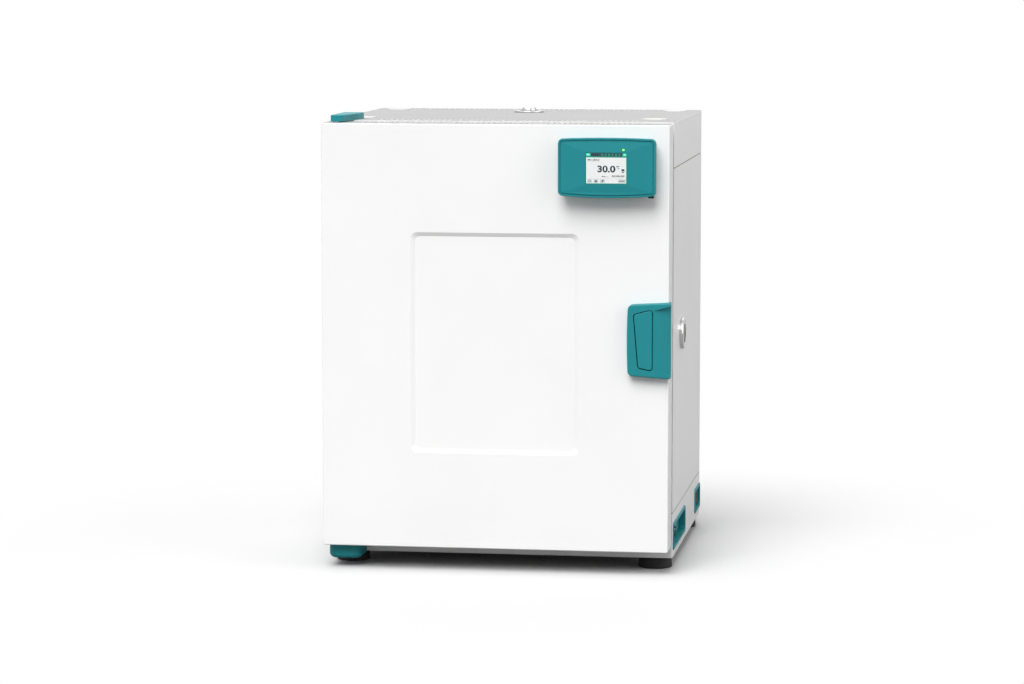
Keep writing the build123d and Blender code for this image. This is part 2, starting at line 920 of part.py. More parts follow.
with BuildPart() as fan_shaft:
    with BuildSketch(front_plane(fan_front + fan_bore_stop)):
        with Locations((0, fan_z)):
            Circle(shaft_radius)
    extrude(amount=-(motor_front + motor_length - shaft_end - fan_front - fan_bore_stop))
fan_shaft.part.label = "fan_shaft"
export_step(fan_shaft.part, "parts/fan_shaft.step")

with BuildPart() as fan_motor:
    with BuildSketch(front_plane(motor_front)):
        with Locations((0, fan_z)):
            RectangleRounded(motor_plate, motor_plate, motor_plate_corner)
    extrude(amount=-motor_plate_thickness)
    with BuildSketch(front_plane(motor_front)):
        with Locations((0, fan_z)):
            Circle(motor_diameter / 2)
    extrude(amount=-motor_length)
    chamfer(fan_motor.faces().sort_by(Axis.Y)[-1].edges(), 4)
    with BuildSketch(front_plane(motor_front)):
        with Locations((0, fan_z)):
            with GridLocations(
                motor_plate - 2 * motor_post_inset, motor_plate - 2 * motor_post_inset, 2, 2
            ):
                Circle(motor_post / 2)
    extrude(amount=motor_standoff)
    with BuildSketch(front_plane(motor_front)):
        with Locations((0, fan_z)):
            Circle(shaft_radius + running_fit)
    extrude(amount=-(motor_length - motor_bore_wall), mode=Mode.SUBTRACT)
fan_motor.part.label = "fan_motor"
export_step(fan_motor.part, "parts/fan_motor.step")


# Heater: an open ring round the fan with two legs through the liner
heater_y = fan_back - fan_width / 2
heater_leg_end = liner_back + stainless + 20

heater_start = Plane(
    origin=(-leg_x, heater_y, leg_z), x_dir=(0, 1, 0), z_dir=(-cos(leg_angle), 0, sin(leg_angle))
)

with BuildPart() as heater_coil:
    with BuildSketch(heater_start):
        Circle(heater_tube / 2)
    revolve(axis=Axis((0, heater_y, fan_z), (0, 1, 0)), revolution_arc=360 - heater_opening)
    for side in (-1, 1):
        with Locations((side * leg_x, heater_y, leg_z)):
            Sphere(heater_tube / 2)
        with BuildSketch(front_plane(heater_y)):
            with Locations((side * leg_x, leg_z)):
                Circle(heater_tube / 2)
        extrude(amount=-(heater_leg_end - heater_y))
heater_coil.part.label = "heater_coil"
export_step(heater_coil.part, "parts/heater_coil.step")

with BuildPart() as sensor_probe:
    with BuildSketch(front_plane(baffle_front - sensor_reach)):
        with Locations((sensor_x, sensor_z)):
            Circle(sensor_diameter / 2)
    extrude(amount=-(liner_back + stainless + 16 - baffle_front + sensor_reach))
    with BuildSketch(front_plane(liner_back + stainless)):
        with Locations((sensor_x, sensor_z)):
            RegularPolygon(radius=sensor_diameter, side_count=6)
    extrude(amount=-5)
sensor_probe.part.label = "sensor_probe"
export_step(sensor_probe.part, "parts/sensor_probe.step")


# Exhaust vent: pipe, top flange and perforated bridge in one piece
vent_bore_radius = vent_pipe_radius - vent_pipe_wall
bridge_top = body_top - vent_bridge_drop
bridge_bottom = bridge_top - vent_bridge_thickness
damper_bottom = bridge_bottom - seat_gap - damper_thickness

with BuildPart() as exhaust_vent:
    with BuildSketch(floor_plane(chamber_top)):
        with Locations((0, vent_y)):
            Circle(vent_pipe_radius)
    extrude(amount=body_top - chamber_top)
    with BuildSketch(floor_plane(body_top)):
        with Locations((0, vent_y)):
            Circle(vent_flange_diameter / 2)
    extrude(amount=vent_flange_height)
    fillet(exhaust_vent.edges().group_by(Axis.Z)[-1], 1.6)
    with BuildSketch(floor_plane(chamber_top)):
        with Locations((0, vent_y)):
            Circle(vent_bore_radius)
    extrude(amount=body_top - chamber_top + vent_flange_height, mode=Mode.SUBTRACT)
    with BuildSketch(floor_plane(bridge_bottom)):
        with Locations((0, vent_y)):
            Circle(vent_bore_radius)
            Circle(vent_stem_diameter / 2 + running_fit, mode=Mode.SUBTRACT)
            with PolarLocations(vent_hole_ring / 2, vent_hole_count):
                Circle(vent_hole_diameter / 2, mode=Mode.SUBTRACT)
    extrude(amount=vent_bridge_thickness)
exhaust_vent.part.label = "exhaust_vent"
export_step(exhaust_vent.part, "parts/exhaust_vent.step")

# Knob, stem and perforated shutter disc, which turn together
with BuildPart() as exhaust_knob:
    with BuildSketch(floor_plane(bridge_top + seat_gap)):
        with Locations((0, vent_y)):
            Circle(vent_knob_diameter / 2)
    extrude(amount=vent_knob_height + vent_bridge_drop - seat_gap)
    fillet(exhaust_knob.edges().group_by(Axis.Z)[-1], 5)
    with BuildSketch(floor_plane(damper_bottom)):
        with Locations((0, vent_y)):
            Circle(vent_stem_diameter / 2)
    extrude(amount=bridge_top + 1 - damper_bottom)
    with BuildSketch(floor_plane(damper_bottom)):
        with Locations((0, vent_y)):
            Circle(vent_bore_radius - loose_fit)
            with PolarLocations(vent_hole_ring / 2, vent_hole_count, start_angle=180 / vent_hole_count):
                Circle(vent_hole_diameter / 2, mode=Mode.SUBTRACT)
    extrude(amount=damper_thickness)
exhaust_knob.part.label = "exhaust_knob"
export_step(exhaust_knob.part, "parts/exhaust_knob.step")


# Access port: tube and outer ring in one piece, closed by a soft plug
with BuildPart() as access_port:
    with BuildSketch(side_plane(chamber_width / 2)):
        with Locations((port_y, port_z)):
            Circle(port_tube_radius)
    extrude(amount=half_width - chamber_width / 2)
    with BuildSketch(side_plane(half_width)):
        with Locations((port_y, port_z)):
            Circle(port_ring_diameter / 2)
    extrude(amount=port_ring_proud)
    fillet(access_port.edges().group_by(Axis.X)[-1], 3)
    with BuildSketch(side_plane(chamber_width / 2)):
        with Locations((port_y, port_z)):
            Circle(port_bore / 2)
    extrude(amount=half_width - chamber_width / 2 + port_ring_proud, mode=Mode.SUBTRACT)
access_port.part.label = "access_port"
export_step(access_port.part, "parts/access_port.step")

plug_inner_x = chamber_width / 2 + 2
plug_outer_x = half_width + port_ring_proud - port_plug_recess

with BuildPart() as port_plug:
    with BuildSketch(side_plane(plug_inner_x)):
        with Locations((port_y, port_z)):
            Circle(port_bore / 2 - loose_fit)
    extrude(amount=plug_outer_x - plug_inner_x)
    chamfer(port_plug.edges().group_by(Axis.X)[-1], 1)
    with BuildSketch(side_plane(plug_outer_x)):
        with Locations((port_y, port_z)):
            SlotOverall(18, 5, rotation=90)
    extrude(amount=port_plug_recess)
port_plug.part.label = "port_plug"
export_step(port_plug.part, "parts/port_plug.step")


# Grip pockets: rim outside the base pan, tub inside its window
pocket_floor_x = half_width - pocket_depth
switch_body_length = switch_length - 2 * switch_lip
switch_body_height = switch_height - 2 * switch_lip
dial_bush_radius = dial_shaft / 2 + 2


def grip_pocket(side, length, height, mid_y, mid_z, controls=False):
    """Moulded pocket on one side of the base pan, with holes for the controls where wanted."""
    tub_length = length - 2 * pocket_rim
    tub_height = height - 2 * pocket_rim
    with BuildPart() as pocket:
        with BuildSketch(side_plane(side * half_width)):
            with Locations((mid_y, mid_z)):
                RectangleRounded(length, height, pocket_corner)
        extrude(amount=side * pocket_proud)
        outer_face = pocket.faces().sort_by(Axis.X)[-1 if side > 0 else 0]
        chamfer(outer_face.edges(), 1.2)
        with BuildSketch(side_plane(side * half_width)):
            with Locations((mid_y, mid_z)):
                RectangleRounded(tub_length, tub_height, pocket_corner - loose_fit)
        extrude(amount=-side * (pocket_depth + pocket_wall))
        with BuildSketch(side_plane(side * (half_width + pocket_proud))):
            with Locations((mid_y, mid_z)):
                RectangleRounded(
                    tub_length - 2 * pocket_wall, tub_height - 2 * pocket_wall, pocket_corner - pocket_wall
                )
        extrude(amount=-side * (pocket_depth + pocket_proud), mode=Mode.SUBTRACT)
        if controls:
            with BuildSketch(side_plane(side * pocket_floor_x)):
                with Locations((control_y, switch_z)):
                    Rectangle(switch_body_length + 2 * loose_fit, switch_body_height + 2 * loose_fit)
                with Locations((control_y, dial_z)):
                    Circle(dial_bush_radius + loose_fit)
            extrude(amount=-side * pocket_wall, mode=Mode.SUBTRACT)
    return pocket


front_pocket_sizes = (front_pocket_length, front_pocket_height, front_pocket_y, front_pocket_z)
rear_pocket_sizes = (rear_pocket_length, rear_pocket_height, rear_pocket_y, rear_pocket_z)

left_front_pocket = grip_pocket(-1, *front_pocket_sizes)
left_front_pocket.part.label = "left_front_pocket"
export_step(left_front_pocket.part, "parts/left_front_pocket.step")

left_rear_pocket = grip_pocket(-1, *rear_pocket_sizes)
left_rear_pocket.part.label = "left_rear_pocket"
export_step(left_rear_pocket.part, "parts/left_rear_pocket.step")

right_rear_pocket = grip_pocket(1, *rear_pocket_sizes)
right_rear_pocket.part.label = "right_rear_pocket"
export_step(right_rear_pocket.part, "parts/right_rear_pocket.step")

right_front_pocket = grip_pocket(1, *front_pocket_sizes, controls=True)
right_front_pocket.part.label = "right_front_pocket"
export_step(right_front_pocket.part, "parts/right_front_pocket.step")

# Soft cap over the data socket in the right rear pocket
with BuildPart() as socket_cap:
    with BuildSketch(side_plane(pocket_floor_x)):
        with Locations((cap_y, cap_z)):
            RectangleRounded(cap_length, cap_tall, 3)
    extrude(amount=pocket_depth - 1.5)
    fillet(socket_cap.faces().sort_by(Axis.X)[-1].edges(), 1.5)
socket_cap.part.label = "socket_cap"
export_step(socket_cap.part, "parts/socket_cap.step")


# Power switch: hollow body with a lip on the pocket floor, and its rocker
rocker_pivot_x = pocket_floor_x - 1
rocker_half = rocker_length / 2
switch_cavity = rocker_length + 2

with BuildPart() as power_switch:
    with BuildSketch(side_plane(pocket_floor_x)):
        with Locations((control_y, switch_z)):
            RectangleRounded(switch_length, switch_height, 1.5)
    extrude(amount=switch_proud)
    fillet(power_switch.faces().sort_by(Axis.X)[-1].edges(), 0.8)
    with BuildSketch(side_plane(pocket_floor_x)):
        with Locations((control_y, switch_z)):
            Rectangle(switch_body_length, switch_body_height)
    extrude(amount=-switch_body_depth)
    with BuildSketch(side_plane(pocket_floor_x + switch_proud)):
        with Locations((control_y, switch_z)):
            Rectangle(switch_cavity, rocker_height + 2 * loose_fit)
    extrude(amount=-(switch_proud + switch_body_depth - switch_floor), mode=Mode.SUBTRACT)
power_switch.part.label = "power_switch"
export_step(power_switch.part, "parts/power_switch.step")

rocker_plane = Plane(
    origin=(rocker_pivot_x, control_y, switch_z - rocker_height / 2),
    x_dir=(cos(radians(rocker_tilt)), sin(radians(rocker_tilt)), 0),
    z_dir=(0, 0, 1),
)

with BuildPart() as power_rocker:
    with BuildSketch(rocker_plane):
        with BuildLine():
            Polyline(
                (-2, -rocker_half + 0.5),
                (4.5, -rocker_half),
                (3, 0),
                (4.5, rocker_half),
                (-2, rocker_half - 0.5),
                (-6, 0),
                close=True,
            )
        make_face()
    extrude(amount=rocker_height)
power_rocker.part.label = "power_rocker"
export_step(power_rocker.part, "parts/power_rocker.step")


# Over temperature limiter: thermostat body with a bush, and its dial
thermostat_outer_x = pocket_floor_x - pocket_wall - seat_gap
dial_inner_x = pocket_floor_x + 1

with BuildPart() as limiter_thermostat:
    with BuildSketch(side_plane(thermostat_outer_x)):
        with Locations((control_y, dial_z)):
            Rectangle(thermostat_length, thermostat_height)
    extrude(amount=-thermostat_depth)
    with BuildSketch(side_plane(thermostat_outer_x)):
        with Locations((control_y, dial_z)):
            Circle(dial_bush_radius)
    extrude(amount=dial_inner_x - seat_gap - thermostat_outer_x)
    with BuildSketch(side_plane(dial_inner_x)):
        with Locations((control_y, dial_z)):
            Circle(dial_shaft / 2 + running_fit)
    extrude(amount=-dial_bore, mode=Mode.SUBTRACT)
limiter_thermostat.part.label = "limiter_thermostat"
export_step(limiter_thermostat.part, "parts/limiter_thermostat.step")

with BuildPart() as limiter_dial:
    with BuildSketch(side_plane(dial_inner_x)):
        with Locations((control_y, dial_z)):
            Circle(dial_diameter / 2)
    extrude(amount=dial_thickness)
    chamfer(limiter_dial.edges().group_by(Axis.X)[-1], 1)
    with BuildSketch(side_plane(dial_inner_x + dial_thickness)):
        with Locations((control_y, dial_z)):
            SlotOverall(dial_diameter - 2 * dial_mark_inset, dial_mark_width, rotation=90)
    extrude(amount=-dial_mark_depth, mode=Mode.SUBTRACT)
    with BuildSketch(side_plane(dial_inner_x)):
        with Locations((control_y, dial_z)):
            Circle(dial_shaft / 2)
    extrude(amount=-dial_shaft_length)
limiter_dial.part.label = "limiter_dial"
export_step(limiter_dial.part, "parts/limiter_dial.step")


# Feet, tapered, with a recess for the bolt head
foot_taper = degrees(atan((foot_bottom_diameter - foot_top_diameter) / 2 / foot_height))


def at_each_foot(radius):
    """Four circles, one at each foot, for the sketch that is open."""
    with Locations((0, foot_mid_y)):
        with GridLocations(2 * foot_x, foot_spacing_y, 2, 2):
            Circle(radius)


def bolt_hexagons():
    """Four hexagons, one at each foot, for the sketch that is open."""
    with Locations((0, foot_mid_y)):
        with GridLocations(2 * foot_x, foot_spacing_y, 2, 2):
            RegularPolygon(radius=foot_bolt_head / 2, side_count=6)


with BuildPart() as rubber_feet:
    with BuildSketch(floor_plane(0)):
        at_each_foot(foot_bottom_diameter / 2)
    extrude(amount=foot_height, taper=foot_taper)
    fillet(rubber_feet.edges().group_by(Axis.Z)[0], foot_edge_round)
    with BuildSketch(floor_plane(0)):
        at_each_foot(foot_recess_diameter / 2)
    extrude(amount=foot_recess_depth, mode=Mode.SUBTRACT)
    with BuildSketch(floor_plane(0)):
        at_each_foot(foot_bolt_diameter / 2 + loose_fit)
    extrude(amount=foot_height, mode=Mode.SUBTRACT)
rubber_feet.part.label = "rubber_feet"
export_step(rubber_feet.part, "parts/rubber_feet.step")

pad_x = half_width - pad_inset_side
pad_front_y = body_front + pad_inset_front
pad_rear_y = body_back - pad_inset_rear

with BuildPart() as stacking_pads:
    with BuildSketch(floor_plane(body_top)):
        with Locations((0, (pad_front_y + pad_rear_y) / 2)):
            with GridLocations(2 * pad_x, pad_rear_y - pad_front_y, 2, 2):
                Circle(pad_diameter / 2)
    extrude(amount=pad_thickness)
    fillet(stacking_pads.edges().group_by(Axis.Z)[-1], pad_thickness / 2)
stacking_pads.part.label = "stacking_pads"
export_step(stacking_pads.part, "parts/stacking_pads.step")


# Upper hinge: cover over a bracket that reaches over the door
def upper_hinge_outline(inset):
    """Face with the plan of the upper hinge pieces, drawn in by an inset."""
    left = upper_cover_inset - half_width
    right = left + upper_cover_width
    front = door_front + upper_cover_front
    back = front + upper_cover_length
    with BuildSketch(floor_plane(body_top)) as outline:
        with BuildLine():
            Polyline(
                (left, front),
                (left + upper_cover_nose, front),
                (right - 2, front + upper_cover_slant),
                (right, back),
                (left, back),
                close=True,
            )
        make_face()
        fillet(outline.vertices(), upper_cover_round)
        offset(amount=-inset)
    return outline.sketch


with BuildPart() as upper_hinge_cover:
    extrude(upper_hinge_outline(0), amount=upper_cover_height)
    fillet(upper_hinge_cover.faces().sort_by(Axis.Z)[-1].edges(), cover_edge_round)
    extrude(
        upper_hinge_outline(cover_wall), amount=upper_cover_height - cover_wall, mode=Mode.SUBTRACT
    )
upper_hinge_cover.part.label = "upper_hinge_cover"
export_step(upper_hinge_cover.part, "parts/upper_hinge_cover.step")

with BuildPart() as upper_hinge_bracket:
    extrude(upper_hinge_outline(cover_wall + seat_gap), amount=bracket_thickness)
    with BuildSketch(floor_plane(body_top)):
        with Locations((hinge_x, hinge_y)):
            Circle(pin_diameter / 2 + running_fit)
    extrude(amount=bracket_thickness, mode=Mode.SUBTRACT)
upper_hinge_bracket.part.label = "upper_hinge_bracket"
export_step(upper_hinge_bracket.part, "parts/upper_hinge_bracket.step")


# Lower hinge: cover round an angle bracket below the door
lower_cover_left = lower_cover_inset - half_width
lower_cover_front = body_front - lower_cover_reach
lower_cover_bottom = body_bottom - lower_cover_drop
lower_cover_top = lower_cover_bottom + lower_cover_height
lower_bracket_top = lower_cover_top - cover_wall - 2

with BuildPart() as lower_hinge_cover:
    with BuildSketch(floor_plane(lower_cover_bottom)) as lower_plan:
        with Locations((lower_cover_left + lower_cover_width / 2, body_front - lower_cover_reach / 2)):
            Rectangle(lower_cover_width, lower_cover_reach)
        fillet(lower_plan.vertices().group_by(Axis.Y)[0], 18)
    extrude(amount=lower_cover_height)
    fillet(lower_hinge_cover.faces().sort_by(Axis.Z)[0].edges() - lower_hinge_cover.faces().sort_by(
        Axis.Y)[-1].edges(), lower_cover_round)
    offset(amount=-cover_wall, openings=lower_hinge_cover.faces().sort_by(Axis.Y)[-1])
    with BuildSketch(floor_plane(lower_cover_top)):
        with Locations((hinge_x, hinge_y)):
            Circle(collar_diameter / 2 + 1)
    extrude(amount=-cover_wall, mode=Mode.SUBTRACT)
lower_hinge_cover.part.label = "lower_hinge_cover"
export_step(lower_hinge_cover.part, "parts/lower_hinge_cover.step")

bracket_inset = cover_wall + 1.5
bracket_width = lower_cover_width - 2 * bracket_inset
bracket_reach = lower_cover_reach - bracket_inset

lower_cover_x = lower_cover_left + lower_cover_width / 2

with BuildPart() as lower_hinge_bracket:
    with BuildSketch(floor_plane(lower_bracket_top)) as bracket_plan:
        with Locations((lower_cover_left + lower_cover_width / 2, body_front - bracket_reach / 2)):
            Rectangle(bracket_width, bracket_reach)
        fillet(bracket_plan.vertices().group_by(Axis.Y)[0], bracket_nose_round)
        with Locations((hinge_x, hinge_y)):
            Circle(pin_diameter / 2 + running_fit, mode=Mode.SUBTRACT)
    extrude(amount=-bracket_thickness)
    with BuildSketch(front_plane(body_front)):
        with Locations((lower_cover_x, lower_bracket_top - bracket_foot_height / 2)):
            Rectangle(bracket_width - 2 * bracket_foot_inset, bracket_foot_height)
    extrude(amount=bracket_thickness)
lower_hinge_bracket.part.label = "lower_hinge_bracket"
export_step(lower_hinge_bracket.part, "parts/lower_hinge_bracket.step")


# Hinge pins, fixed in the brackets, and the bushes in the door
upper_bracket_top = body_top + bracket_thickness

with BuildPart() as hinge_pins:
    with BuildSketch(floor_plane(door_top - pin_grip)):
        with Locations((hinge_x, hinge_y)):
            Circle(pin_diameter / 2)
    extrude(amount=upper_bracket_top - door_top + pin_grip)
    with BuildSketch(floor_plane(upper_bracket_top)):
        with Locations((hinge_x, hinge_y)):
            Circle(pin_diameter / 2 + 1)
    extrude(amount=2.5)
    with BuildSketch(floor_plane(lower_bracket_top - bracket_thickness - 3)):
        with Locations((hinge_x, hinge_y)):
            Circle(pin_diameter / 2)
    extrude(amount=door_bottom + pin_grip - lower_bracket_top + bracket_thickness + 3)
    with BuildSketch(floor_plane(lower_bracket_top)):
        with Locations((hinge_x, hinge_y)):
            Circle(collar_diameter / 2)
    extrude(amount=door_bottom - seat_gap - lower_bracket_top)
hinge_pins.part.label = "hinge_pins"
export_step(hinge_pins.part, "parts/hinge_pins.step")

bush_length = pin_grip - 2

with BuildPart() as hinge_bushes:
    for end, step in ((door_top, -1), (door_bottom, 1)):
        with BuildSketch(floor_plane(end)):
            with Locations((hinge_x, hinge_y)):
                Circle(bush_diameter / 2)
        extrude(amount=step * bush_length)
        with BuildSketch(floor_plane(end + step * (sheet + seat_gap))):
            with Locations((hinge_x, hinge_y)):
                Circle(bush_flange_diameter / 2)
        extrude(amount=step * bush_flange_thickness)
        with BuildSketch(floor_plane(end)):
            with Locations((hinge_x, hinge_y)):
                Circle(pin_diameter / 2 + running_fit)
        extrude(amount=step * bush_length, mode=Mode.SUBTRACT)
hinge_bushes.part.label = "hinge_bushes"
export_step(hinge_bushes.part, "parts/hinge_bushes.step")


# Door skin: one folded sheet with a pressed recess, vent slots and bush holes
recess_x = recess_shift
recess_z = recess_bottom + recess_height / 2

with BuildPart() as door_skin:
    with BuildSketch(front_plane(door_back)):
        with Locations((0, door_mid_z)):
            RectangleRounded(door_width, door_height, door_corner)
    extrude(amount=door_thickness)
    fillet(door_skin.faces().sort_by(Axis.Y)[0].edges(), door_edge_round)
    with BuildSketch(front_plane(door_back)):
        with Locations((0, door_mid_z)):
            RectangleRounded(door_width - 2 * sheet, door_height - 2 * sheet, door_corner - sheet)
    extrude(amount=door_thickness - sheet, mode=Mode.SUBTRACT)
    with BuildSketch(front_plane(door_front + sheet)):
        with Locations((recess_x, recess_z)):
            RectangleRounded(recess_width, recess_height, recess_corner)
    with BuildSketch(front_plane(door_front + sheet + recess_depth)):
        with Locations((recess_x, recess_z)):
            RectangleRounded(
                recess_width - 2 * recess_bevel, recess_height - 2 * recess_bevel, recess_corner - 2
            )
    loft(ruled=True)
    with BuildSketch(front_plane(door_front)):
        with Locations((recess_x, recess_z)):
            RectangleRounded(recess_width - sheet, recess_height - sheet, recess_corner)
    with BuildSketch(front_plane(door_front + recess_depth)):
        with Locations((recess_x, recess_z)):
            RectangleRounded(
                recess_width - sheet - 2 * recess_bevel,
                recess_height - sheet - 2 * recess_bevel,
                recess_corner - 2,
            )
    loft(ruled=True, mode=Mode.SUBTRACT)
    with BuildSketch(floor_plane(door_top)):
        with Locations((0, door_front + door_slot_setback)):
            vent_slots()
        with Locations((hinge_x, hinge_y)):
            Circle(bush_diameter / 2 + loose_fit)
    extrude(amount=-sheet, mode=Mode.SUBTRACT)
    with BuildSketch(floor_plane(door_bottom)):
        with Locations((hinge_x, hinge_y)):
            Circle(bush_diameter / 2 + loose_fit)
    extrude(amount=sheet, mode=Mode.SUBTRACT)
    with BuildSketch(front_plane(door_front)):
        with Locations((finger_slot_x, latch_z)):
            Rectangle(finger_slot_width, finger_height + 2 * finger_play)
        with Locations((controller_x, controller_z)):
            Circle(controller_lead_hole / 2)
    extrude(amount=-sheet, mode=Mode.SUBTRACT)
door_skin.part.label = "door_skin"
export_step(door_skin.part, "parts/door_skin.step")


# Door inner panel, with a raised field towards the chamber mouth and the latch slot
inner_half = door_half - sheet - seat_gap
inner_height = door_height - 2 * (sheet + seat_gap)
field_width = chamber_width - 26
field_height = chamber_height - 26
field_rise = door_gap - 4
field_edge_round = 2
latch_slot_left = latch_axis_x - 12
latch_slot_right = latch_axis_x + 6

with BuildPart() as door_inner_panel:
    with BuildSketch(front_plane(door_back)):
        with Locations((0, door_mid_z)):
            RectangleRounded(2 * inner_half, inner_height, door_corner - sheet - seat_gap)
    extrude(amount=stainless)
    with BuildSketch(front_plane(door_back)):
        with Locations((0, chamber_mid_z)):
            RectangleRounded(field_width, field_height, 20)
    extrude(amount=-field_rise)
    fillet(door_inner_panel.faces().sort_by(Axis.Y)[-1].edges(), field_edge_round)
    with BuildSketch(front_plane(door_back - stainless)):
        with Locations((0, chamber_mid_z)):
            RectangleRounded(field_width - 2 * stainless, field_height - 2 * stainless, 19)
    extrude(amount=-field_rise, mode=Mode.SUBTRACT)
    with BuildSketch(front_plane(door_back)):
        with Locations(((latch_slot_left + latch_slot_right) / 2, latch_z)):
            Rectangle(latch_slot_right - latch_slot_left, latch_slot_height)
    extrude(amount=stainless, mode=Mode.SUBTRACT)
door_inner_panel.part.label = "door_inner_panel"
export_step(door_inner_panel.part, "parts/door_inner_panel.step")

wool_left = hinge_x + bush_flange_diameter / 2 + bush_wool_gap
wool_right = latch_axis_x - 26
door_wool_front = door_front + sheet + recess_depth + seat_gap
door_wool_back = door_back - stainless - seat_gap

with BuildPart() as door_insulation:
    with BuildSketch(front_plane(door_wool_back)):
        with Locations(((wool_left + wool_right) / 2, door_mid_z)):
            Rectangle(wool_right - wool_left, door_height - 2 * door_wool_margin)
    extrude(amount=door_wool_back - door_wool_front)
door_insulation.part.label = "door_insulation"
export_step(door_insulation.part, "parts/door_insulation.step")

gasket_width = 11
gasket_inset = 3.5

with BuildPart() as door_gasket:
    with BuildSketch(front_plane(body_front - seat_gap)):
        with Locations((0, chamber_mid_z)):
            RectangleRounded(
                chamber_width + 2 * (gasket_inset + gasket_width),
                chamber_height + 2 * (gasket_inset + gasket_width),
                24,
            )
            RectangleRounded(
                chamber_width + 2 * gasket_inset,
                chamber_height + 2 * gasket_inset,
                14,
                mode=Mode.SUBTRACT,
            )
    extrude(amount=door_gap - 2 * seat_gap)
    fillet(door_gasket.faces().sort_by(Axis.Y)[-1].edges(), 4)
door_gasket.part.label = "door_gasket"
export_step(door_gasket.part, "parts/door_gasket.step")


# Handle body: shaped block on the door front that wraps round its right edge
handle_front = door_front - handle_depth
handle_right = door_half + handle_proud
handle_top = handle_bottom + handle_height
handle_mid_z = (handle_top + handle_bottom) / 2
handle_left_top = (handle_left + handle_bow, handle_top - handle_taper_top)
handle_left_bottom = (handle_left + handle_bow, handle_bottom + handle_taper_bottom)
lever_axis_y = handle_front + lever_axis_depth
lever_corners = (
    (lever_left_top, lever_top_left),
    (lever_right, lever_top_right),
    (lever_right, lever_bottom_right),
    (lever_left_bottom, lever_bottom_left),
)
scoop_start = lever_right + lever_groove + scoop_gap
scoop_mid = (scoop_start + handle_right) / 2
scoop_start_bottom = lever_bottom_right + scoop_start_inset
scoop_start_top = lever_top_right - scoop_start_inset
scoop_mid_bottom = lever_bottom_right - scoop_mid_drop
scoop_mid_top = lever_top_right + scoop_mid_rise
scoop_sections = (
    (scoop_start, scoop_start_depth, scoop_start_bottom, scoop_start_top),
    (scoop_mid, scoop_depth * scoop_mid_share, scoop_mid_bottom, scoop_mid_top),
    (handle_right + scoop_over, scoop_depth, handle_bottom + scoop_end_bottom, handle_top - scoop_end_top),
)

with BuildPart() as handle_body:
    with BuildSketch(front_plane(door_front)) as handle_plan:
        with BuildLine():
            Line((handle_right, handle_top), handle_left_top)
            ThreePointArc(handle_left_top, (handle_left, handle_mid_z), handle_left_bottom)
            Line(handle_left_bottom, (handle_right, handle_bottom))
            Line((handle_right, handle_bottom), (handle_right, handle_top))
        make_face()
        fillet(handle_plan.vertices().group_by(Axis.X)[0], handle_corner)
        fillet(handle_plan.vertices().group_by(Axis.X)[-1], handle_wrap_corner)
    extrude(amount=handle_depth)
    with BuildSketch(side_plane(handle_right)):
        with Locations((door_front + (handle_wrap - handle_wrap_lap) / 2, handle_mid_z)):
            RectangleRounded(handle_wrap + handle_wrap_lap, handle_height, handle_wrap_corner)
    extrude(amount=-(handle_proud - seat_gap))
    fillet(handle_body.faces().sort_by(Axis.Y)[0].edges(), handle_edge_round)
    with BuildSketch(front_plane(handle_front)) as lever_recess:
        with BuildLine():
            Polyline(*lever_corners, close=True)
        make_face()
        fillet(lever_recess.vertices(), lever_corner)
        offset(amount=lever_groove)
    extrude(amount=-lever_pocket_depth, mode=Mode.SUBTRACT)
    for section_x, depth, low, high in scoop_sections:
        with BuildSketch(side_plane(section_x)):
            with Locations((handle_front + depth / 2 - 1, (low + high) / 2)):
                Rectangle(depth + 2, high - low)
    loft(mode=Mode.SUBTRACT)
    with BuildSketch(front_plane(handle_front)):
        with Locations((finger_slot_x, latch_z)):
            Rectangle(finger_slot_width, finger_height + 2 * finger_play)
    extrude(amount=-handle_depth, mode=Mode.SUBTRACT)
    with BuildSketch(floor_plane(lever_pin_bottom - lever_pin_end_play)):
        with Locations((lever_axis_x, lever_axis_y)):
            Circle(lever_pin_diameter / 2 + running_fit)
    extrude(amount=lever_pin_top - lever_pin_bottom + 2 * lever_pin_end_play, mode=Mode.SUBTRACT)
handle_body.part.label = "handle_body"
export_step(handle_body.part, "parts/handle_body.step")

# Lever paddle with its hub and the finger that works the latch
hub_bottom = lever_bottom_left + lever_hub_inset
hub_top = lever_top_left + lever_hub_rise

with BuildPart() as handle_lever:
    with BuildSketch(front_plane(handle_front + lever_thickness)) as lever_plan:
        with BuildLine():
            Polyline(*lever_corners, close=True)
        make_face()
        fillet(lever_plan.vertices(), lever_corner)
    extrude(amount=lever_thickness)
    fillet(handle_lever.faces().sort_by(Axis.Y)[0].edges(), lever_edge_round)
    with BuildSketch(floor_plane(hub_bottom)):
        with Locations((lever_axis_x, lever_axis_y)):
            Circle(lever_hub_diameter / 2)
    extrude(amount=hub_top - hub_bottom)
    with BuildSketch(floor_plane(latch_z - finger_height / 2)):
        with Locations((finger_x, lever_axis_y + (finger_reach - finger_root) / 2)):
            Rectangle(finger_thickness, finger_reach - finger_root)
    extrude(amount=finger_height)
    with BuildSketch(floor_plane(lever_pin_bottom)):
        with Locations((lever_axis_x, lever_axis_y)):
            Circle(lever_pin_diameter / 2 + running_fit)
    extrude(amount=lever_pin_top - lever_pin_bottom, mode=Mode.SUBTRACT)
handle_lever.part.label = "handle_lever"
export_step(handle_lever.part, "parts/handle_lever.step")


# Latch: hook on an upright pin in a case inside the door, and its keeper
latch_axis_y = door_front + latch_axis_depth
hook_left = latch_axis_x - latch_arm_width / 2
hook_end = latch_axis_y + latch_arm_reach
case_inner = case_height / 2 - case_wall

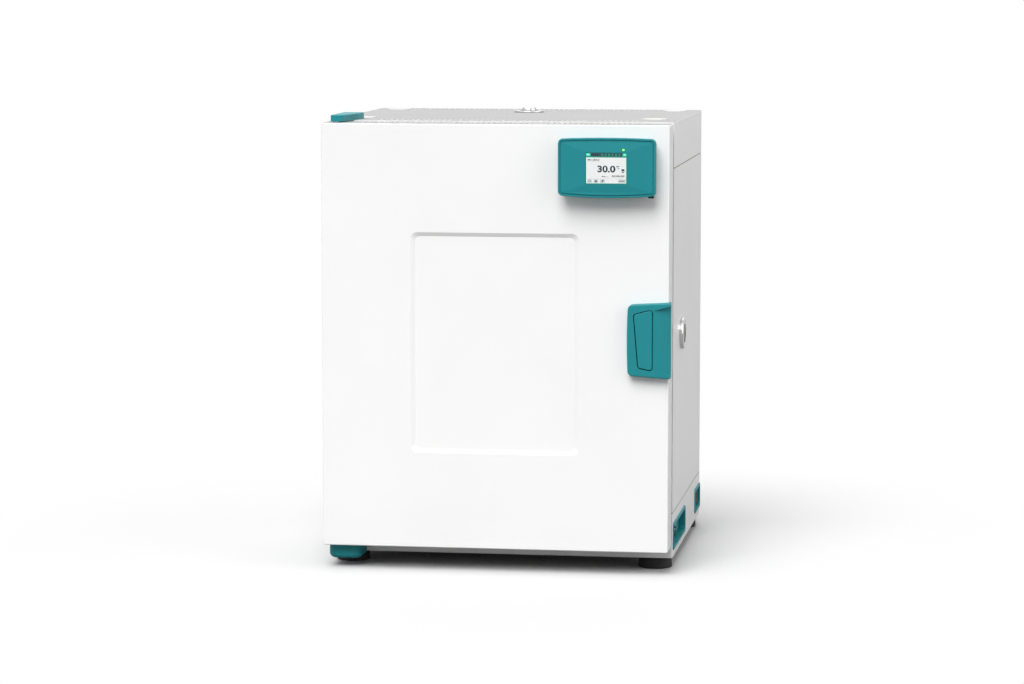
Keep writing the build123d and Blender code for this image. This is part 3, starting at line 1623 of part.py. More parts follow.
with BuildPart() as latch_hook:
    with BuildSketch(floor_plane(latch_z - latch_thickness / 2)):
        with Locations((latch_axis_x, latch_axis_y)):
            Circle(latch_hub_diameter / 2)
        with Locations((latch_axis_x, latch_axis_y + latch_arm_reach / 2)):
            Rectangle(latch_arm_width, latch_arm_reach)
        with Locations((hook_left + (latch_arm_width + latch_nose) / 2, hook_end - latch_nose / 2)):
            Rectangle(latch_arm_width + latch_nose, latch_nose)
        with Locations((lever_axis_x + latch_tail_width / 2, latch_axis_y - latch_tail_reach / 2)):
            Rectangle(latch_tail_width, latch_tail_reach)
    extrude(amount=latch_thickness)
    with BuildSketch(floor_plane(latch_z - case_inner + seat_gap)):
        with Locations((latch_axis_x, latch_axis_y)):
            Circle(latch_hub_diameter / 2)
    extrude(amount=2 * (case_inner - seat_gap))
    with BuildSketch(floor_plane(latch_z - case_inner)):
        with Locations((latch_axis_x, latch_axis_y)):
            Circle(latch_pin_diameter / 2 + running_fit)
    extrude(amount=2 * case_inner, mode=Mode.SUBTRACT)
latch_hook.part.label = "latch_hook"
export_step(latch_hook.part, "parts/latch_hook.step")

case_left = latch_axis_x - 14
case_back = door_back - stainless

with BuildPart() as latch_case:
    with BuildSketch(front_plane(case_back)):
        with Locations((case_left + case_width / 2, latch_z)):
            Rectangle(case_width, case_height)
        with Locations((case_left + case_width / 2 - case_wall, latch_z)):
            Rectangle(case_width, case_height - 2 * case_wall, mode=Mode.SUBTRACT)
    extrude(amount=case_depth)
    with BuildSketch(floor_plane(latch_z - case_height / 2)):
        with Locations((latch_axis_x, latch_axis_y)):
            Circle(latch_pin_diameter / 2 + running_fit)
    extrude(amount=case_height, mode=Mode.SUBTRACT)
latch_case.part.label = "latch_case"
export_step(latch_case.part, "parts/latch_case.step")

with BuildPart() as latch_pins:
    with BuildSketch(floor_plane(latch_z - case_height / 2)):
        with Locations((latch_axis_x, latch_axis_y)):
            Circle(latch_pin_diameter / 2)
    extrude(amount=case_height)
    with BuildSketch(floor_plane(lever_pin_bottom)):
        with Locations((lever_axis_x, lever_axis_y)):
            Circle(lever_pin_diameter / 2)
    extrude(amount=lever_pin_top - lever_pin_bottom)
latch_pins.part.label = "latch_pins"
export_step(latch_pins.part, "parts/latch_pins.step")

keeper_left = hook_left + latch_arm_width + latch_nose + latch_clearance

with BuildPart() as latch_keeper:
    with BuildSketch(front_plane(liner_front)):
        with Locations((keeper_left + keeper_width / 2, latch_z)):
            RectangleRounded(keeper_width, case_height, 2)
    extrude(amount=-keeper_thickness)
latch_keeper.part.label = "latch_keeper"
export_step(latch_keeper.part, "parts/latch_keeper.step")


# Controller: dark rear housing, dished front cover, display and status light
controller_face = door_front - controller_depth
controller_joint = door_front - controller_back_depth
controller_rim = controller_face + controller_bulge


def controller_plane(y):
    """Front facing plane centred on the controller."""
    return Plane(origin=(controller_x, y, controller_z), x_dir=(1, 0, 0), z_dir=(0, -1, 0))


def controller_outline(y, inset):
    """Face with the controller's outline and bowed long edges, drawn in by an inset."""
    half_w = controller_width / 2 - inset
    half_h = controller_height / 2 - inset
    with BuildSketch(controller_plane(y)) as outline:
        with BuildLine():
            ThreePointArc((-half_w, half_h), (0, half_h + controller_bow_top), (half_w, half_h))
            Line((half_w, half_h), (half_w, -half_h))
            ThreePointArc((half_w, -half_h), (0, -half_h - controller_bow_bottom), (-half_w, -half_h))
            Line((-half_w, -half_h), (-half_w, half_h))
        make_face()
        fillet(outline.vertices(), controller_corner - inset)
    return outline.sketch


with BuildPart() as controller_back:
    extrude(controller_outline(door_front, controller_back_inset), amount=controller_back_depth)
    with BuildSketch(controller_plane(door_front)):
        RectangleRounded(
            controller_width - 2 * controller_back_inset - 4 * controller_wall,
            controller_height - 2 * controller_back_inset - 4 * controller_wall,
            4,
        )
    extrude(amount=controller_back_depth, mode=Mode.SUBTRACT)
controller_back.part.label = "controller_back"
export_step(controller_back.part, "parts/controller_back.step")

with BuildPart() as controller_front:
    extrude(controller_outline(controller_joint, 0), amount=controller_joint - controller_rim)
    fillet(controller_front.faces().sort_by(Axis.Y)[0].edges(), controller_edge_round)
    extrude(
        controller_outline(controller_rim, controller_groove_inset),
        amount=-controller_groove_depth,
        mode=Mode.SUBTRACT,
    )
    extrude(
        controller_outline(controller_rim, controller_groove_inset + controller_groove_width),
        amount=-controller_groove_depth,
    )
    extrude(
        controller_outline(controller_joint, controller_wall),
        amount=controller_depth - controller_back_depth - controller_face_wall,
        mode=Mode.SUBTRACT,
    )
    with BuildSketch(controller_plane(controller_rim)):
        Rectangle(
            controller_width - 2 * controller_bulge_margin, controller_height - 2 * controller_bulge_margin
        )
    with BuildSketch(controller_plane(controller_face)):
        with Locations((screen_shift, screen_z - controller_z)):
            Rectangle(screen_width + 2 * screen_border, screen_height + 2 * screen_border)
    loft(ruled=True)
    with BuildSketch(controller_plane(controller_face)):
        with Locations((screen_shift, screen_z - controller_z)):
            Rectangle(screen_width + 2 * loose_fit, screen_height + 2 * loose_fit)
        with Locations((led_x - controller_x, led_z - controller_z)):
            Circle(led_diameter / 2 + running_fit)
    extrude(amount=-(controller_face_wall + 1), mode=Mode.SUBTRACT)
controller_front.part.label = "controller_front"
export_step(controller_front.part, "parts/controller_front.step")

display_front = controller_face + glass_setback
display_step = controller_face + controller_face_wall + seat_gap

with BuildPart() as display_module:
    with BuildSketch(controller_plane(display_front)):
        with Locations((screen_shift, screen_z - controller_z)):
            Rectangle(screen_width, screen_height)
    extrude(amount=-(display_step - display_front))
    with BuildSketch(controller_plane(display_step)):
        with Locations((screen_shift, screen_z - controller_z)):
            Rectangle(screen_width + 2 * screen_rim, screen_height + 2 * screen_rim)
    extrude(amount=-6)
display_module.part.label = "display_module"
export_step(display_module.part, "parts/display_module.step")

with BuildPart() as status_led:
    with BuildSketch(controller_plane(controller_face + controller_face_wall + 1)):
        with Locations((led_x - controller_x, led_z - controller_z)):
            Circle(led_diameter / 2)
    extrude(amount=controller_face_wall + 1)
    fillet(status_led.faces().sort_by(Axis.Y)[0].edges(), 1)
    with BuildSketch(controller_plane(controller_face + controller_face_wall + seat_gap)):
        with Locations((led_x - controller_x, led_z - controller_z)):
            Circle(led_diameter / 2 + led_flange)
    extrude(amount=-1.5)
status_led.part.label = "status_led"
export_step(status_led.part, "parts/status_led.step")


# Power inlet in the rear wall of the base pan
with BuildPart() as power_inlet:
    with BuildSketch(front_plane(body_back)):
        with Locations((inlet_x, inlet_z)):
            RectangleRounded(inlet_width, inlet_height, inlet_corner)
    extrude(amount=-inlet_flange)
    with BuildSketch(front_plane(body_back)):
        with Locations((inlet_x, inlet_z)):
            Rectangle(inlet_width - 2 * inlet_lip, inlet_height - 2 * inlet_lip)
    extrude(amount=inlet_depth)
    with BuildSketch(front_plane(body_back + inlet_flange)):
        with Locations((inlet_x, inlet_z)):
            RectangleRounded(inlet_cavity_width, inlet_cavity_height, inlet_corner)
    extrude(amount=inlet_cavity_depth, mode=Mode.SUBTRACT)
    with BuildSketch(front_plane(body_back + inlet_flange - inlet_cavity_depth)):
        with Locations(
            (inlet_x, inlet_z + inlet_blade_drop),
            (inlet_x - inlet_blade_spread, inlet_z - inlet_blade_drop),
            (inlet_x + inlet_blade_spread, inlet_z - inlet_blade_drop),
        ):
            Rectangle(inlet_blade_width, inlet_blade_height)
    extrude(amount=-inlet_blade)
power_inlet.part.label = "power_inlet"
export_step(power_inlet.part, "parts/power_inlet.step")


# Power board on its posts, with transformer, relay and terminals
board_bottom = body_bottom + sheet + board_standoff
board_left = board_x - board_length / 2
board_post_pitch_x = board_length - 2 * board_post_inset
board_post_pitch_y = board_width - 2 * board_post_inset

with BuildPart() as power_board:
    with BuildSketch(floor_plane(board_bottom)):
        with Locations((board_x, board_y)):
            Rectangle(board_length, board_width)
    extrude(amount=board_thickness)
    with BuildSketch(floor_plane(body_bottom + sheet)):
        with Locations((board_x, board_y)):
            with GridLocations(board_post_pitch_x, board_post_pitch_y, 2, 2):
                Circle(board_post / 2)
    extrude(amount=board_standoff)
    with BuildSketch(floor_plane(board_bottom + board_thickness)):
        with Locations((board_left + transformer_setback, board_y)):
            Rectangle(transformer_length, transformer_width)
        with Locations((board_left + relay_setback, board_y + board_width / 2 - relay_rear_inset)):
            Rectangle(relay_size, relay_size)
        with Locations((board_left + relay_setback, board_y - board_width / 2 + filter_front_inset)):
            Rectangle(filter_length, filter_width)
    extrude(amount=board_part_height)
    with BuildSketch(floor_plane(board_bottom + board_thickness)):
        with Locations((board_left + board_length - terminal_inset, board_y)):
            with GridLocations(0, terminal_pitch, 1, terminal_count):
                Rectangle(terminal_length, terminal_width)
    extrude(amount=terminal_height)
power_board.part.label = "power_board"
export_step(power_board.part, "parts/power_board.step")


# Screws of the rear panel and its cover, and the foot bolts with their nuts
bolt_head_bottom = foot_recess_depth - foot_bolt_head_height
bolt_nut_bottom = body_bottom + sheet
cover_screw_x = rear_cover_width / 2 - cover_screw_inset
cover_screw_z = rear_cover_height / 2 - 14

with BuildPart() as cabinet_screws:
    with BuildSketch(front_plane(body_back)):
        with Locations((0, panel_bottom + panel_height / 2)):
            with GridLocations(2 * rear_screw_x, rear_screw_pitch, 2, rear_screw_rows):
                Circle(screw_head / 2)
    extrude(amount=-screw_head_height)
    fillet(cabinet_screws.faces().group_by(Axis.Y)[-1].edges(), 0.9)
    with BuildSketch(front_plane(body_back)):
        with Locations((0, panel_bottom + panel_height / 2)):
            with GridLocations(2 * rear_screw_x, rear_screw_pitch, 2, rear_screw_rows):
                Circle(screw_diameter / 2)
    extrude(amount=sheet + seat_gap)
    with BuildSketch(front_plane(body_back + rear_cover_depth)):
        with Locations((0, fan_z)):
            with GridLocations(2 * cover_screw_x, 2 * cover_screw_z, 2, 2):
                Circle(screw_head / 2)
    extrude(amount=-screw_head_height)
    with BuildSketch(floor_plane(bolt_head_bottom)):
        bolt_hexagons()
    extrude(amount=foot_recess_depth - bolt_head_bottom)
    with BuildSketch(floor_plane(foot_recess_depth)):
        at_each_foot(foot_bolt_diameter / 2)
    extrude(amount=bolt_nut_bottom - foot_recess_depth + foot_bolt_end)
    with BuildSketch(floor_plane(bolt_nut_bottom)):
        bolt_hexagons()
    extrude(amount=foot_nut_height)
cabinet_screws.part.label = "cabinet_screws"
export_step(cabinet_screws.part, "parts/cabinet_screws.step")
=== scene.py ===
from math import cos, radians, sin

import bmesh
import bpy
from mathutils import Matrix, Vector


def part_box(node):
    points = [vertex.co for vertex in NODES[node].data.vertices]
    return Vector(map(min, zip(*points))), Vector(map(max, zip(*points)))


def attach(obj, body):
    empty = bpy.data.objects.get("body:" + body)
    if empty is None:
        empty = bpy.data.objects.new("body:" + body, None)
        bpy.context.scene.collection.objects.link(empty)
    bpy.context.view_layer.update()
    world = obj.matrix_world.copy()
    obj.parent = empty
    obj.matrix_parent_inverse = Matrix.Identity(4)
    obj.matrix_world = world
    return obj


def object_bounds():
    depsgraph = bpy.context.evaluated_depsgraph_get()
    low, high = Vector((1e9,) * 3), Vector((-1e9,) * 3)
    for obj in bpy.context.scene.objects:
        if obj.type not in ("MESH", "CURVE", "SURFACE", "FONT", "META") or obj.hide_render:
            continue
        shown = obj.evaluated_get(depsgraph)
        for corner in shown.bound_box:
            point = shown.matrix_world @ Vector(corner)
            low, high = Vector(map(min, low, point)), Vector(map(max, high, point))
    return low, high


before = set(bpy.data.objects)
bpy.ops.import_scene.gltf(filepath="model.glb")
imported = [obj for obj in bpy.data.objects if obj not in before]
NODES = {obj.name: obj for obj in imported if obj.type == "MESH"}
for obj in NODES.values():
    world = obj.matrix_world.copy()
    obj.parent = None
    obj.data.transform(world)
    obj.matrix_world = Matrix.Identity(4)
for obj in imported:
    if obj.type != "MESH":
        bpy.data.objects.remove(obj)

cad_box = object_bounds()
MM = 0.001

# Camera of the picture: place in metres, turn in degrees, lens and sensor in millimetres
CAMERA_PLACE = (0.88056, -5.9626, 1.0432)
CAMERA_TURN = (83.634, 0.0, 8.497)
CAMERA_LENS = 118.81
CAMERA_SENSOR = 36.0
CAMERA_REACH = 100

# Lamps: name, strength, height, turn to the left and spread in degrees
SUNS = [
    ("key", 2.7, 46.0, 9.0, 40.0),
    ("overhead", 0.7, 70.0, 20.0, 36.0),
    ("left_fill", 0.4, 40.0, 60.0, 45.0),
    ("right_fill", 1.06, 24.0, -75.0, 60.0),
    ("back", 0.8, 50.0, 172.0, 50.0),
]

# Soft light of the world at the horizon, and from this height of the direction upwards
AMBIENT_LOW = 0.38
AMBIENT_HIGH = 0.2
AMBIENT_FROM = 0.8

# Floor: its colour, the gain where it is seen, the share of that in metal, where it has faded
FLOOR_COLOUR = 0.22
FLOOR_SEEN = 3.1
FLOOR_IN_METAL = 0.3
FLOOR_FAR = 0.7
FLOOR_HALF = 14
FLOOR_CELLS = 40

# Paint and plastic: the gloss of both, and the paint's painted shade on faces that look up: a darker
# copy of its colour there, also made rougher
SPECULAR = 0.25
TOP_PAINTED_SHADE = 0.44
TOP_SHADE_FROM = 0.55
TOP_SHADE_FULL = 0.95
TOP_SHADE_DULL = 0.4
PLASTIC_GRAIN = 2600
PLASTIC_WEAR = 0.05


def srgb(r, g, b):
    """Linear colour of an 8 bit one."""
    out = []
    for v in (r, g, b):
        c = v / 255
        out.append(c / 12.92 if c <= 0.04045 else ((c + 0.055) / 1.055) ** 2.4)
    return (*out, 1.0)


def shade(colour, factor):
    return (colour[0] * factor, colour[1] * factor, colour[2] * factor, 1.0)


# Material tools
def new_material(name):
    mat = bpy.data.materials.new(name)
    mat.use_nodes = True
    tree = mat.node_tree
    shader = tree.nodes["Principled BSDF"]
    return mat, tree, shader


def feed(tree, value, socket):
    """Link another node's output, or set a plain value."""
    if isinstance(value, bpy.types.NodeSocket):
        tree.links.new(value, socket)
    else:
        socket.default_value = value


def place(tree, scale=(1, 1, 1)):
    """The piece's own coordinates in metres, stretched."""
    coords = tree.nodes.new("ShaderNodeTexCoord")
    mapping = tree.nodes.new("ShaderNodeMapping")
    mapping.inputs["Scale"].default_value = scale
    tree.links.new(coords.outputs["Object"], mapping.inputs["Vector"])
    return mapping.outputs["Vector"]


def noise(tree, vector, scale, detail=3.0, rough=0.5, distortion=0.0):
    node = tree.nodes.new("ShaderNodeTexNoise")
    node.inputs["Scale"].default_value = scale
    node.inputs["Detail"].default_value = detail
    node.inputs["Roughness"].default_value = rough
    node.inputs["Distortion"].default_value = distortion
    tree.links.new(vector, node.inputs["Vector"])
    return node.outputs["Fac"]


def voronoi(tree, vector, scale):
    node = tree.nodes.new("ShaderNodeTexVoronoi")
    node.inputs["Scale"].default_value = scale
    tree.links.new(vector, node.inputs["Vector"])
    return node.outputs["Distance"]


def spread(tree, value, low, high, start=0.3, end=0.7):
    """A value's range from start to end laid on low to high."""
    node = tree.nodes.new("ShaderNodeMapRange")
    node.inputs["From Min"].default_value = start
    node.inputs["From Max"].default_value = end
    node.inputs["To Min"].default_value = low
    node.inputs["To Max"].default_value = high
    tree.links.new(value, node.inputs["Value"])
    return node.outputs["Result"]


def two_colours(tree, value, first, second, start=0.3, end=0.7):
    node = tree.nodes.new("ShaderNodeValToRGB")
    node.color_ramp.elements[0].position = start
    node.color_ramp.elements[1].position = end
    node.color_ramp.elements[0].color = first
    node.color_ramp.elements[1].color = second
    tree.links.new(value, node.inputs["Fac"])
    return node.outputs["Color"]


def mix_colours(tree, factor, first, second):
    """A mix of two colours. The node keeps its colour sockets at places 6 and 7."""
    node = tree.nodes.new("ShaderNodeMix")
    node.data_type = "RGBA"
    feed(tree, factor, node.inputs[0])
    feed(tree, first, node.inputs[6])
    feed(tree, second, node.inputs[7])
    return node.outputs[2]


def maths(tree, kind, first, second):
    node = tree.nodes.new("ShaderNodeMath")
    node.operation = kind
    feed(tree, first, node.inputs[0])
    feed(tree, second, node.inputs[1])
    return node.outputs[0]


def vector_maths(tree, kind, first, second=None):
    node = tree.nodes.new("ShaderNodeVectorMath")
    node.operation = kind
    feed(tree, first, node.inputs[0])
    if second is not None:
        feed(tree, second, node.inputs[1])
    return node


def seen(tree, mirrored):
    """One for rays from the camera or through glass, and a given share for reflections."""
    path = tree.nodes.new("ShaderNodeLightPath")
    outputs = path.outputs
    direct = maths(tree, "MAXIMUM", outputs["Is Camera Ray"], outputs["Is Transmission Ray"])
    return maths(tree, "MAXIMUM", direct, maths(tree, "MULTIPLY", outputs["Is Glossy Ray"], mirrored))


def bump(tree, shader, height, strength, distance, under=None):
    node = tree.nodes.new("ShaderNodeBump")
    node.inputs["Strength"].default_value = strength
    node.inputs["Distance"].default_value = distance
    tree.links.new(height, node.inputs["Height"])
    if under is not None:
        tree.links.new(under, node.inputs["Normal"])
    tree.links.new(node.outputs["Normal"], shader.inputs["Normal"])
    return node.outputs["Normal"]


# Powder coated sheet: fine orange peel, faint cloudiness, and painted shade where it faces up: a
# darker copy of the colour that is also rougher
def painted_sheet(name, colour, rough=0.36):
    mat, tree, shader = new_material(name)
    spot = place(tree)
    cloud = noise(tree, spot, 6, 4)
    grain = noise(tree, spot, 900, 3)
    fine = noise(tree, spot, 3200, 2)
    tint = two_colours(tree, cloud, shade(colour, 0.975), colour)
    speck = spread(tree, fine, 0.0, 0.035, 0.55, 0.8)
    worn = mix_colours(tree, speck, tint, shade(colour, 0.7))
    facing = tree.nodes.new("ShaderNodeSeparateXYZ")
    side = tree.nodes.new("ShaderNodeNewGeometry")
    tree.links.new(side.outputs["Normal"], facing.inputs["Vector"])
    # Painted shade: faces that look up are darkened to stand in for less light falling on the top,
    # and are made rougher
    overlay_share = spread(tree, facing.outputs["Z"], 0.0, 1.0, TOP_SHADE_FROM, TOP_SHADE_FULL)
    overlay_share = maths(tree, "MULTIPLY", overlay_share, spread(tree, cloud, 0.97, 1.0))
    overlaid = mix_colours(tree, overlay_share, worn, shade(colour, TOP_PAINTED_SHADE))
    tree.links.new(overlaid, shader.inputs["Base Color"])
    fresh = spread(tree, grain, rough - 0.05, rough + 0.09)
    dull = maths(tree, "MULTIPLY", overlay_share, TOP_SHADE_DULL)
    tree.links.new(maths(tree, "ADD", fresh, dull), shader.inputs["Roughness"])
    peel = bump(tree, shader, grain, 0.09, 0.0003)
    bump(tree, shader, fine, 0.05, 0.0001, peel)
    shader.inputs["Specular IOR Level"].default_value = SPECULAR
    return mat


# Moulded plastic with a fine eroded grain
def moulded(name, colour, rough):
    mat, tree, shader = new_material(name)
    spot = place(tree)
    cloud = noise(tree, spot, 14, 4)
    grain = noise(tree, spot, PLASTIC_GRAIN, 4, 0.6)
    pits = voronoi(tree, spot, PLASTIC_GRAIN * 0.8)
    tint = two_colours(tree, cloud, shade(colour, 0.95), shade(colour, 1.03))
    worn = spread(tree, grain, 0.0, PLASTIC_WEAR, 0.45, 0.8)
    pale = mix_colours(tree, worn, tint, shade(colour, 1.2))
    tree.links.new(pale, shader.inputs["Base Color"])
    tree.links.new(spread(tree, grain, rough - 0.06, rough + 0.1), shader.inputs["Roughness"])
    first = bump(tree, shader, grain, 0.16, 0.0002)
    bump(tree, shader, pits, 0.06, 0.0001, first)
    shader.inputs["Specular IOR Level"].default_value = SPECULAR
    return mat


# Brushed sheet or drawn wire, the grain running along one axis
def brushed(name, colour=(0.62, 0.62, 0.61, 1), along="X", rough=0.3):
    mat, tree, shader = new_material(name)
    stretch = {"X": (6, 1400, 1400), "Y": (1400, 6, 1400), "Z": (1400, 1400, 6)}[along]
    lines = noise(tree, place(tree, stretch), 1, 4, 0.65)
    cloud = noise(tree, place(tree), 9, 5)
    spots = noise(tree, place(tree), 120, 4)
    tint = two_colours(tree, lines, shade(colour, 0.82), shade(colour, 1.1), 0.25, 0.75)
    stain = spread(tree, cloud, 0.0, 0.18, 0.5, 0.8)
    stained = mix_colours(tree, stain, tint, (0.5, 0.47, 0.41, 1))
    tree.links.new(stained, shader.inputs["Base Color"])
    shader.inputs["Metallic"].default_value = 1.0
    streak = spread(tree, lines, rough - 0.08, rough + 0.14)
    uneven = maths(tree, "ADD", streak, spread(tree, spots, -0.03, 0.05))
    tree.links.new(uneven, shader.inputs["Roughness"])
    bump(tree, shader, lines, 0.1, 0.0001)
    return mat


# Polished or plated metal with wipe marks
def polished(name, colour=(0.56, 0.56, 0.56, 1), rough=0.1):
    mat, tree, shader = new_material(name)
    smear = noise(tree, place(tree, (60, 60, 200)), 1, 5, 0.6, 0.8)
    fine = noise(tree, place(tree), 1500, 3)
    tint = two_colours(tree, smear, shade(colour, 0.93), colour)
    tree.links.new(tint, shader.inputs["Base Color"])
    shader.inputs["Metallic"].default_value = 1.0
    tree.links.new(spread(tree, smear, rough - 0.04, rough + 0.09), shader.inputs["Roughness"])
    bump(tree, shader, fine, 0.025, 0.0001)
    return mat


# Rubber and silicone: dull, slightly uneven, with a little dust
def rubbery(name, colour, rough, overlaid):
    mat, tree, shader = new_material(name)
    spot = place(tree)
    cloud = noise(tree, spot, 45, 5, 0.6)
    grain = noise(tree, spot, 1400, 4, 0.6)
    tint = two_colours(tree, grain, shade(colour, 0.8), shade(colour, 1.25))
    overlay_share = spread(tree, cloud, 0.0, overlaid, 0.5, 0.85)
    dusty = mix_colours(tree, overlay_share, tint, (0.3, 0.29, 0.27, 1))
    tree.links.new(dusty, shader.inputs["Base Color"])
    tree.links.new(spread(tree, cloud, rough - 0.1, rough + 0.12), shader.inputs["Roughness"])
    bump(tree, shader, grain, 0.22, 0.0003)
    return mat


# Mineral wool board: matted fibres
def wool(name, colour):
    mat, tree, shader = new_material(name)
    fibres = noise(tree, place(tree, (220, 900, 300)), 1, 8, 0.75, 2.5)
    clumps = noise(tree, place(tree), 60, 5)
    tint = two_colours(tree, fibres, shade(colour, 0.55), shade(colour, 1.2))
    matted = mix_colours(tree, spread(tree, clumps, 0.0, 0.4), tint, shade(colour, 0.8))
    tree.links.new(matted, shader.inputs["Base Color"])
    shader.inputs["Roughness"].default_value = 0.95
    shader.inputs["Sheen Weight"].default_value = 0.3
    bump(tree, shader, fibres, 0.8, 0.002)
    return mat


# Heater tube: oxidised, straw to blue grey
def oxidised(name):
    mat, tree, shader = new_material(name)
    spot = place(tree)
    heat = noise(tree, spot, 28, 5, 0.6, 0.6)
    scale = noise(tree, spot, 900, 4)
    node = tree.nodes.new("ShaderNodeValToRGB")
    ramp = node.color_ramp
    ramp.elements[0].color = (0.12, 0.11, 0.12, 1)
    ramp.elements[1].color = (0.22, 0.17, 0.1, 1)
    middle = ramp.elements.new(0.5)
    middle.color = (0.13, 0.12, 0.15, 1)
    tree.links.new(heat, node.inputs["Fac"])
    tree.links.new(node.outputs["Color"], shader.inputs["Base Color"])
    shader.inputs["Metallic"].default_value = 0.85
    tree.links.new(spread(tree, scale, 0.38, 0.6), shader.inputs["Roughness"])
    bump(tree, shader, scale, 0.2, 0.0002)
    return mat


# Circuit board: solder mask with darker tracks
def circuit(name):
    mat, tree, shader = new_material(name)
    brick = tree.nodes.new("ShaderNodeTexBrick")
    brick.inputs["Scale"].default_value = 60
    brick.inputs["Color1"].default_value = (0.012, 0.13, 0.05, 1)
    brick.inputs["Color2"].default_value = (0.015, 0.17, 0.065, 1)
    brick.inputs["Mortar"].default_value = (0.02, 0.09, 0.03, 1)
    brick.inputs["Mortar Size"].default_value = 0.03
    tree.links.new(place(tree), brick.inputs["Vector"])
    tree.links.new(brick.outputs["Color"], shader.inputs["Base Color"])
    shader.inputs["Roughness"].default_value = 0.35
    bump(tree, shader, brick.outputs["Fac"], 0.2, 0.0001)
    return mat


# Glossy parts of the screen, most with a little light of their own
def lit_plastic(name, colour, glow, rough=0.22):
    mat, tree, shader = new_material(name)
    grid = noise(tree, place(tree), 2200, 2)
    tint = two_colours(tree, grid, shade(colour, 0.97), colour)
    tree.links.new(tint, shader.inputs["Base Color"])
    shader.inputs["Emission Color"].default_value = colour
    shader.inputs["Emission Strength"].default_value = glow
    tree.links.new(spread(tree, grid, rough, rough + 0.06), shader.inputs["Roughness"])
    return mat


TEAL = srgb(28, 130, 137)
WHITE = (0.87, 0.87, 0.868, 1)
paint = painted_sheet("powder_coat_white", WHITE)
teal = moulded("moulded_teal", TEAL, 0.42)
teal_lever = moulded("moulded_teal_lever", TEAL, 0.44)
black = moulded("moulded_black", srgb(26, 27, 28), 0.4)
off_white = moulded("moulded_white", srgb(240, 240, 238), 0.4)
pad_white = moulded("moulded_pad_white", srgb(203, 203, 201), 0.5)
olive = moulded("moulded_olive", srgb(66, 74, 62), 0.5)
rubber = rubbery("black_rubber", srgb(18, 18, 19), 0.72, 0.06)
silicone = rubbery("grey_silicone", srgb(168, 168, 165), 0.6, 0.05)
chrome = polished("polished_steel")
steel_x = brushed("brushed_steel_across", along="X")
steel_z = brushed("brushed_steel_upright", along="Z")
steel_y = brushed("brushed_steel_deep", along="Y")
wire = brushed("drawn_wire", (0.68, 0.68, 0.67, 1), "X", 0.22)
zinc = brushed("cast_zinc", (0.5, 0.5, 0.49, 1), "Y", 0.42)
bronze = brushed("sintered_bronze", (0.55, 0.36, 0.14, 1), "Z", 0.45)
dark_paint = painted_sheet("motor_paint", srgb(52, 55, 58), 0.45)
fibre = wool("mineral_wool", srgb(196, 182, 142))
coil = oxidised("oxidised_tube")
board = circuit("solder_mask")
glass_black = lit_plastic("screen_glass", srgb(30, 50, 58), 0.0, 0.12)
led = lit_plastic("status_light", srgb(165, 255, 20), 1.0)

# Each material with the solids that wear it
LOOKS = [
    (paint, "left_side_panel right_side_panel top_cover rear_panel rear_cover base_pan"),
    (paint, "front_frame door_skin"),
    (teal, "upper_hinge_cover lower_hinge_cover left_front_pocket left_rear_pocket"),
    (teal, "right_front_pocket right_rear_pocket controller_front controller_back handle_body"),
    (teal_lever, "handle_lever"),
    (black, "latch_pins socket_cap power_inlet limiter_thermostat power_rocker"),
    (off_white, "power_switch"),
    (pad_white, "stacking_pads"),
    (olive, "limiter_dial"),
    (rubber, "rubber_feet"),
    (silicone, "door_gasket port_plug"),
    (chrome, "cabinet_screws exhaust_vent exhaust_knob access_port"),
    (steel_x, "chamber_liner rear_baffle upper_hinge_bracket lower_hinge_bracket"),
    (steel_z, "door_inner_panel shelf_racks hinge_pins latch_keeper"),
    (steel_y, "fan_wheel fan_shaft sensor_probe"),
    (wire, "upper_shelf lower_shelf"),
    (zinc, "latch_case latch_hook"),
    (bronze, "hinge_bushes"),
    (dark_paint, "fan_motor"),
    (fibre, "side_insulation upper_insulation lower_insulation rear_insulation door_insulation"),
    (coil, "heater_coil"),
    (board, "power_board"),
    (glass_black, "display_module"),
    (led, "status_led"),
]
for look, nodes in LOOKS:
    for node in nodes.split():
        slots = NODES[node].data.materials
        slots.clear()
        slots.append(look)


# Mesh tools for the pieces that the solids don't hold
def finish_piece(name, bm, materials):
    """A piece on the door with its materials."""
    mesh = bpy.data.meshes.new(name)
    bm.normal_update()
    bm.to_mesh(mesh)
    bm.free()
    obj = bpy.data.objects.new(name, mesh)
    bpy.context.scene.collection.objects.link(obj)
    for mat in materials:
        mesh.materials.append(mat)
    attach(obj, "door")


def plate(bm, corners, push, material=0):
    """A thin plate: its outline pushed along a vector."""
    low = [bm.verts.new(c) for c in corners]
    high = [bm.verts.new(Vector(c) + Vector(push)) for c in corners]
    faces = [bm.faces.new(high), bm.faces.new(low[::-1])]
    count = len(corners)
    for i in range(count):
        after = (i + 1) % count
        faces.append(bm.faces.new((low[i], low[after], high[after], high[i])))
    for face in faces:
        face.material_index = material


# Screen picture, measured in millimetres from the screen's centre, in layers of this thickness
screen_low, screen_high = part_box("display_module")
SCREEN_X = (screen_low.x + screen_high.x) / 2
SCREEN_Z = (screen_low.z + screen_high.z) / 2
SCREEN_Y = screen_low.y
LAYER = 0.06 * MM
SCREEN_PUSH = (0, -LAYER, 0)
CORNER_STEPS = 5
screen_colours = [
    lit_plastic("screen_white", srgb(228, 230, 230), 0.02),
    lit_plastic("screen_grey", srgb(198, 204, 204), 0.02),
    lit_plastic("screen_bar", srgb(42, 66, 76), 0.05),
    lit_plastic("screen_turquoise", srgb(38, 208, 178), 0.15),
    lit_plastic("screen_edge", srgb(56, 168, 148), 0.1),
    lit_plastic("screen_ink", srgb(20, 50, 58), 0.0),
    lit_plastic("screen_soft_ink", srgb(84, 106, 110), 0.0),
    lit_plastic("screen_band", srgb(26, 138, 118), 0.08),
]
PALE, GREY, BAR, TURQUOISE, EDGE, INK, SOFT, BAND = range(8)


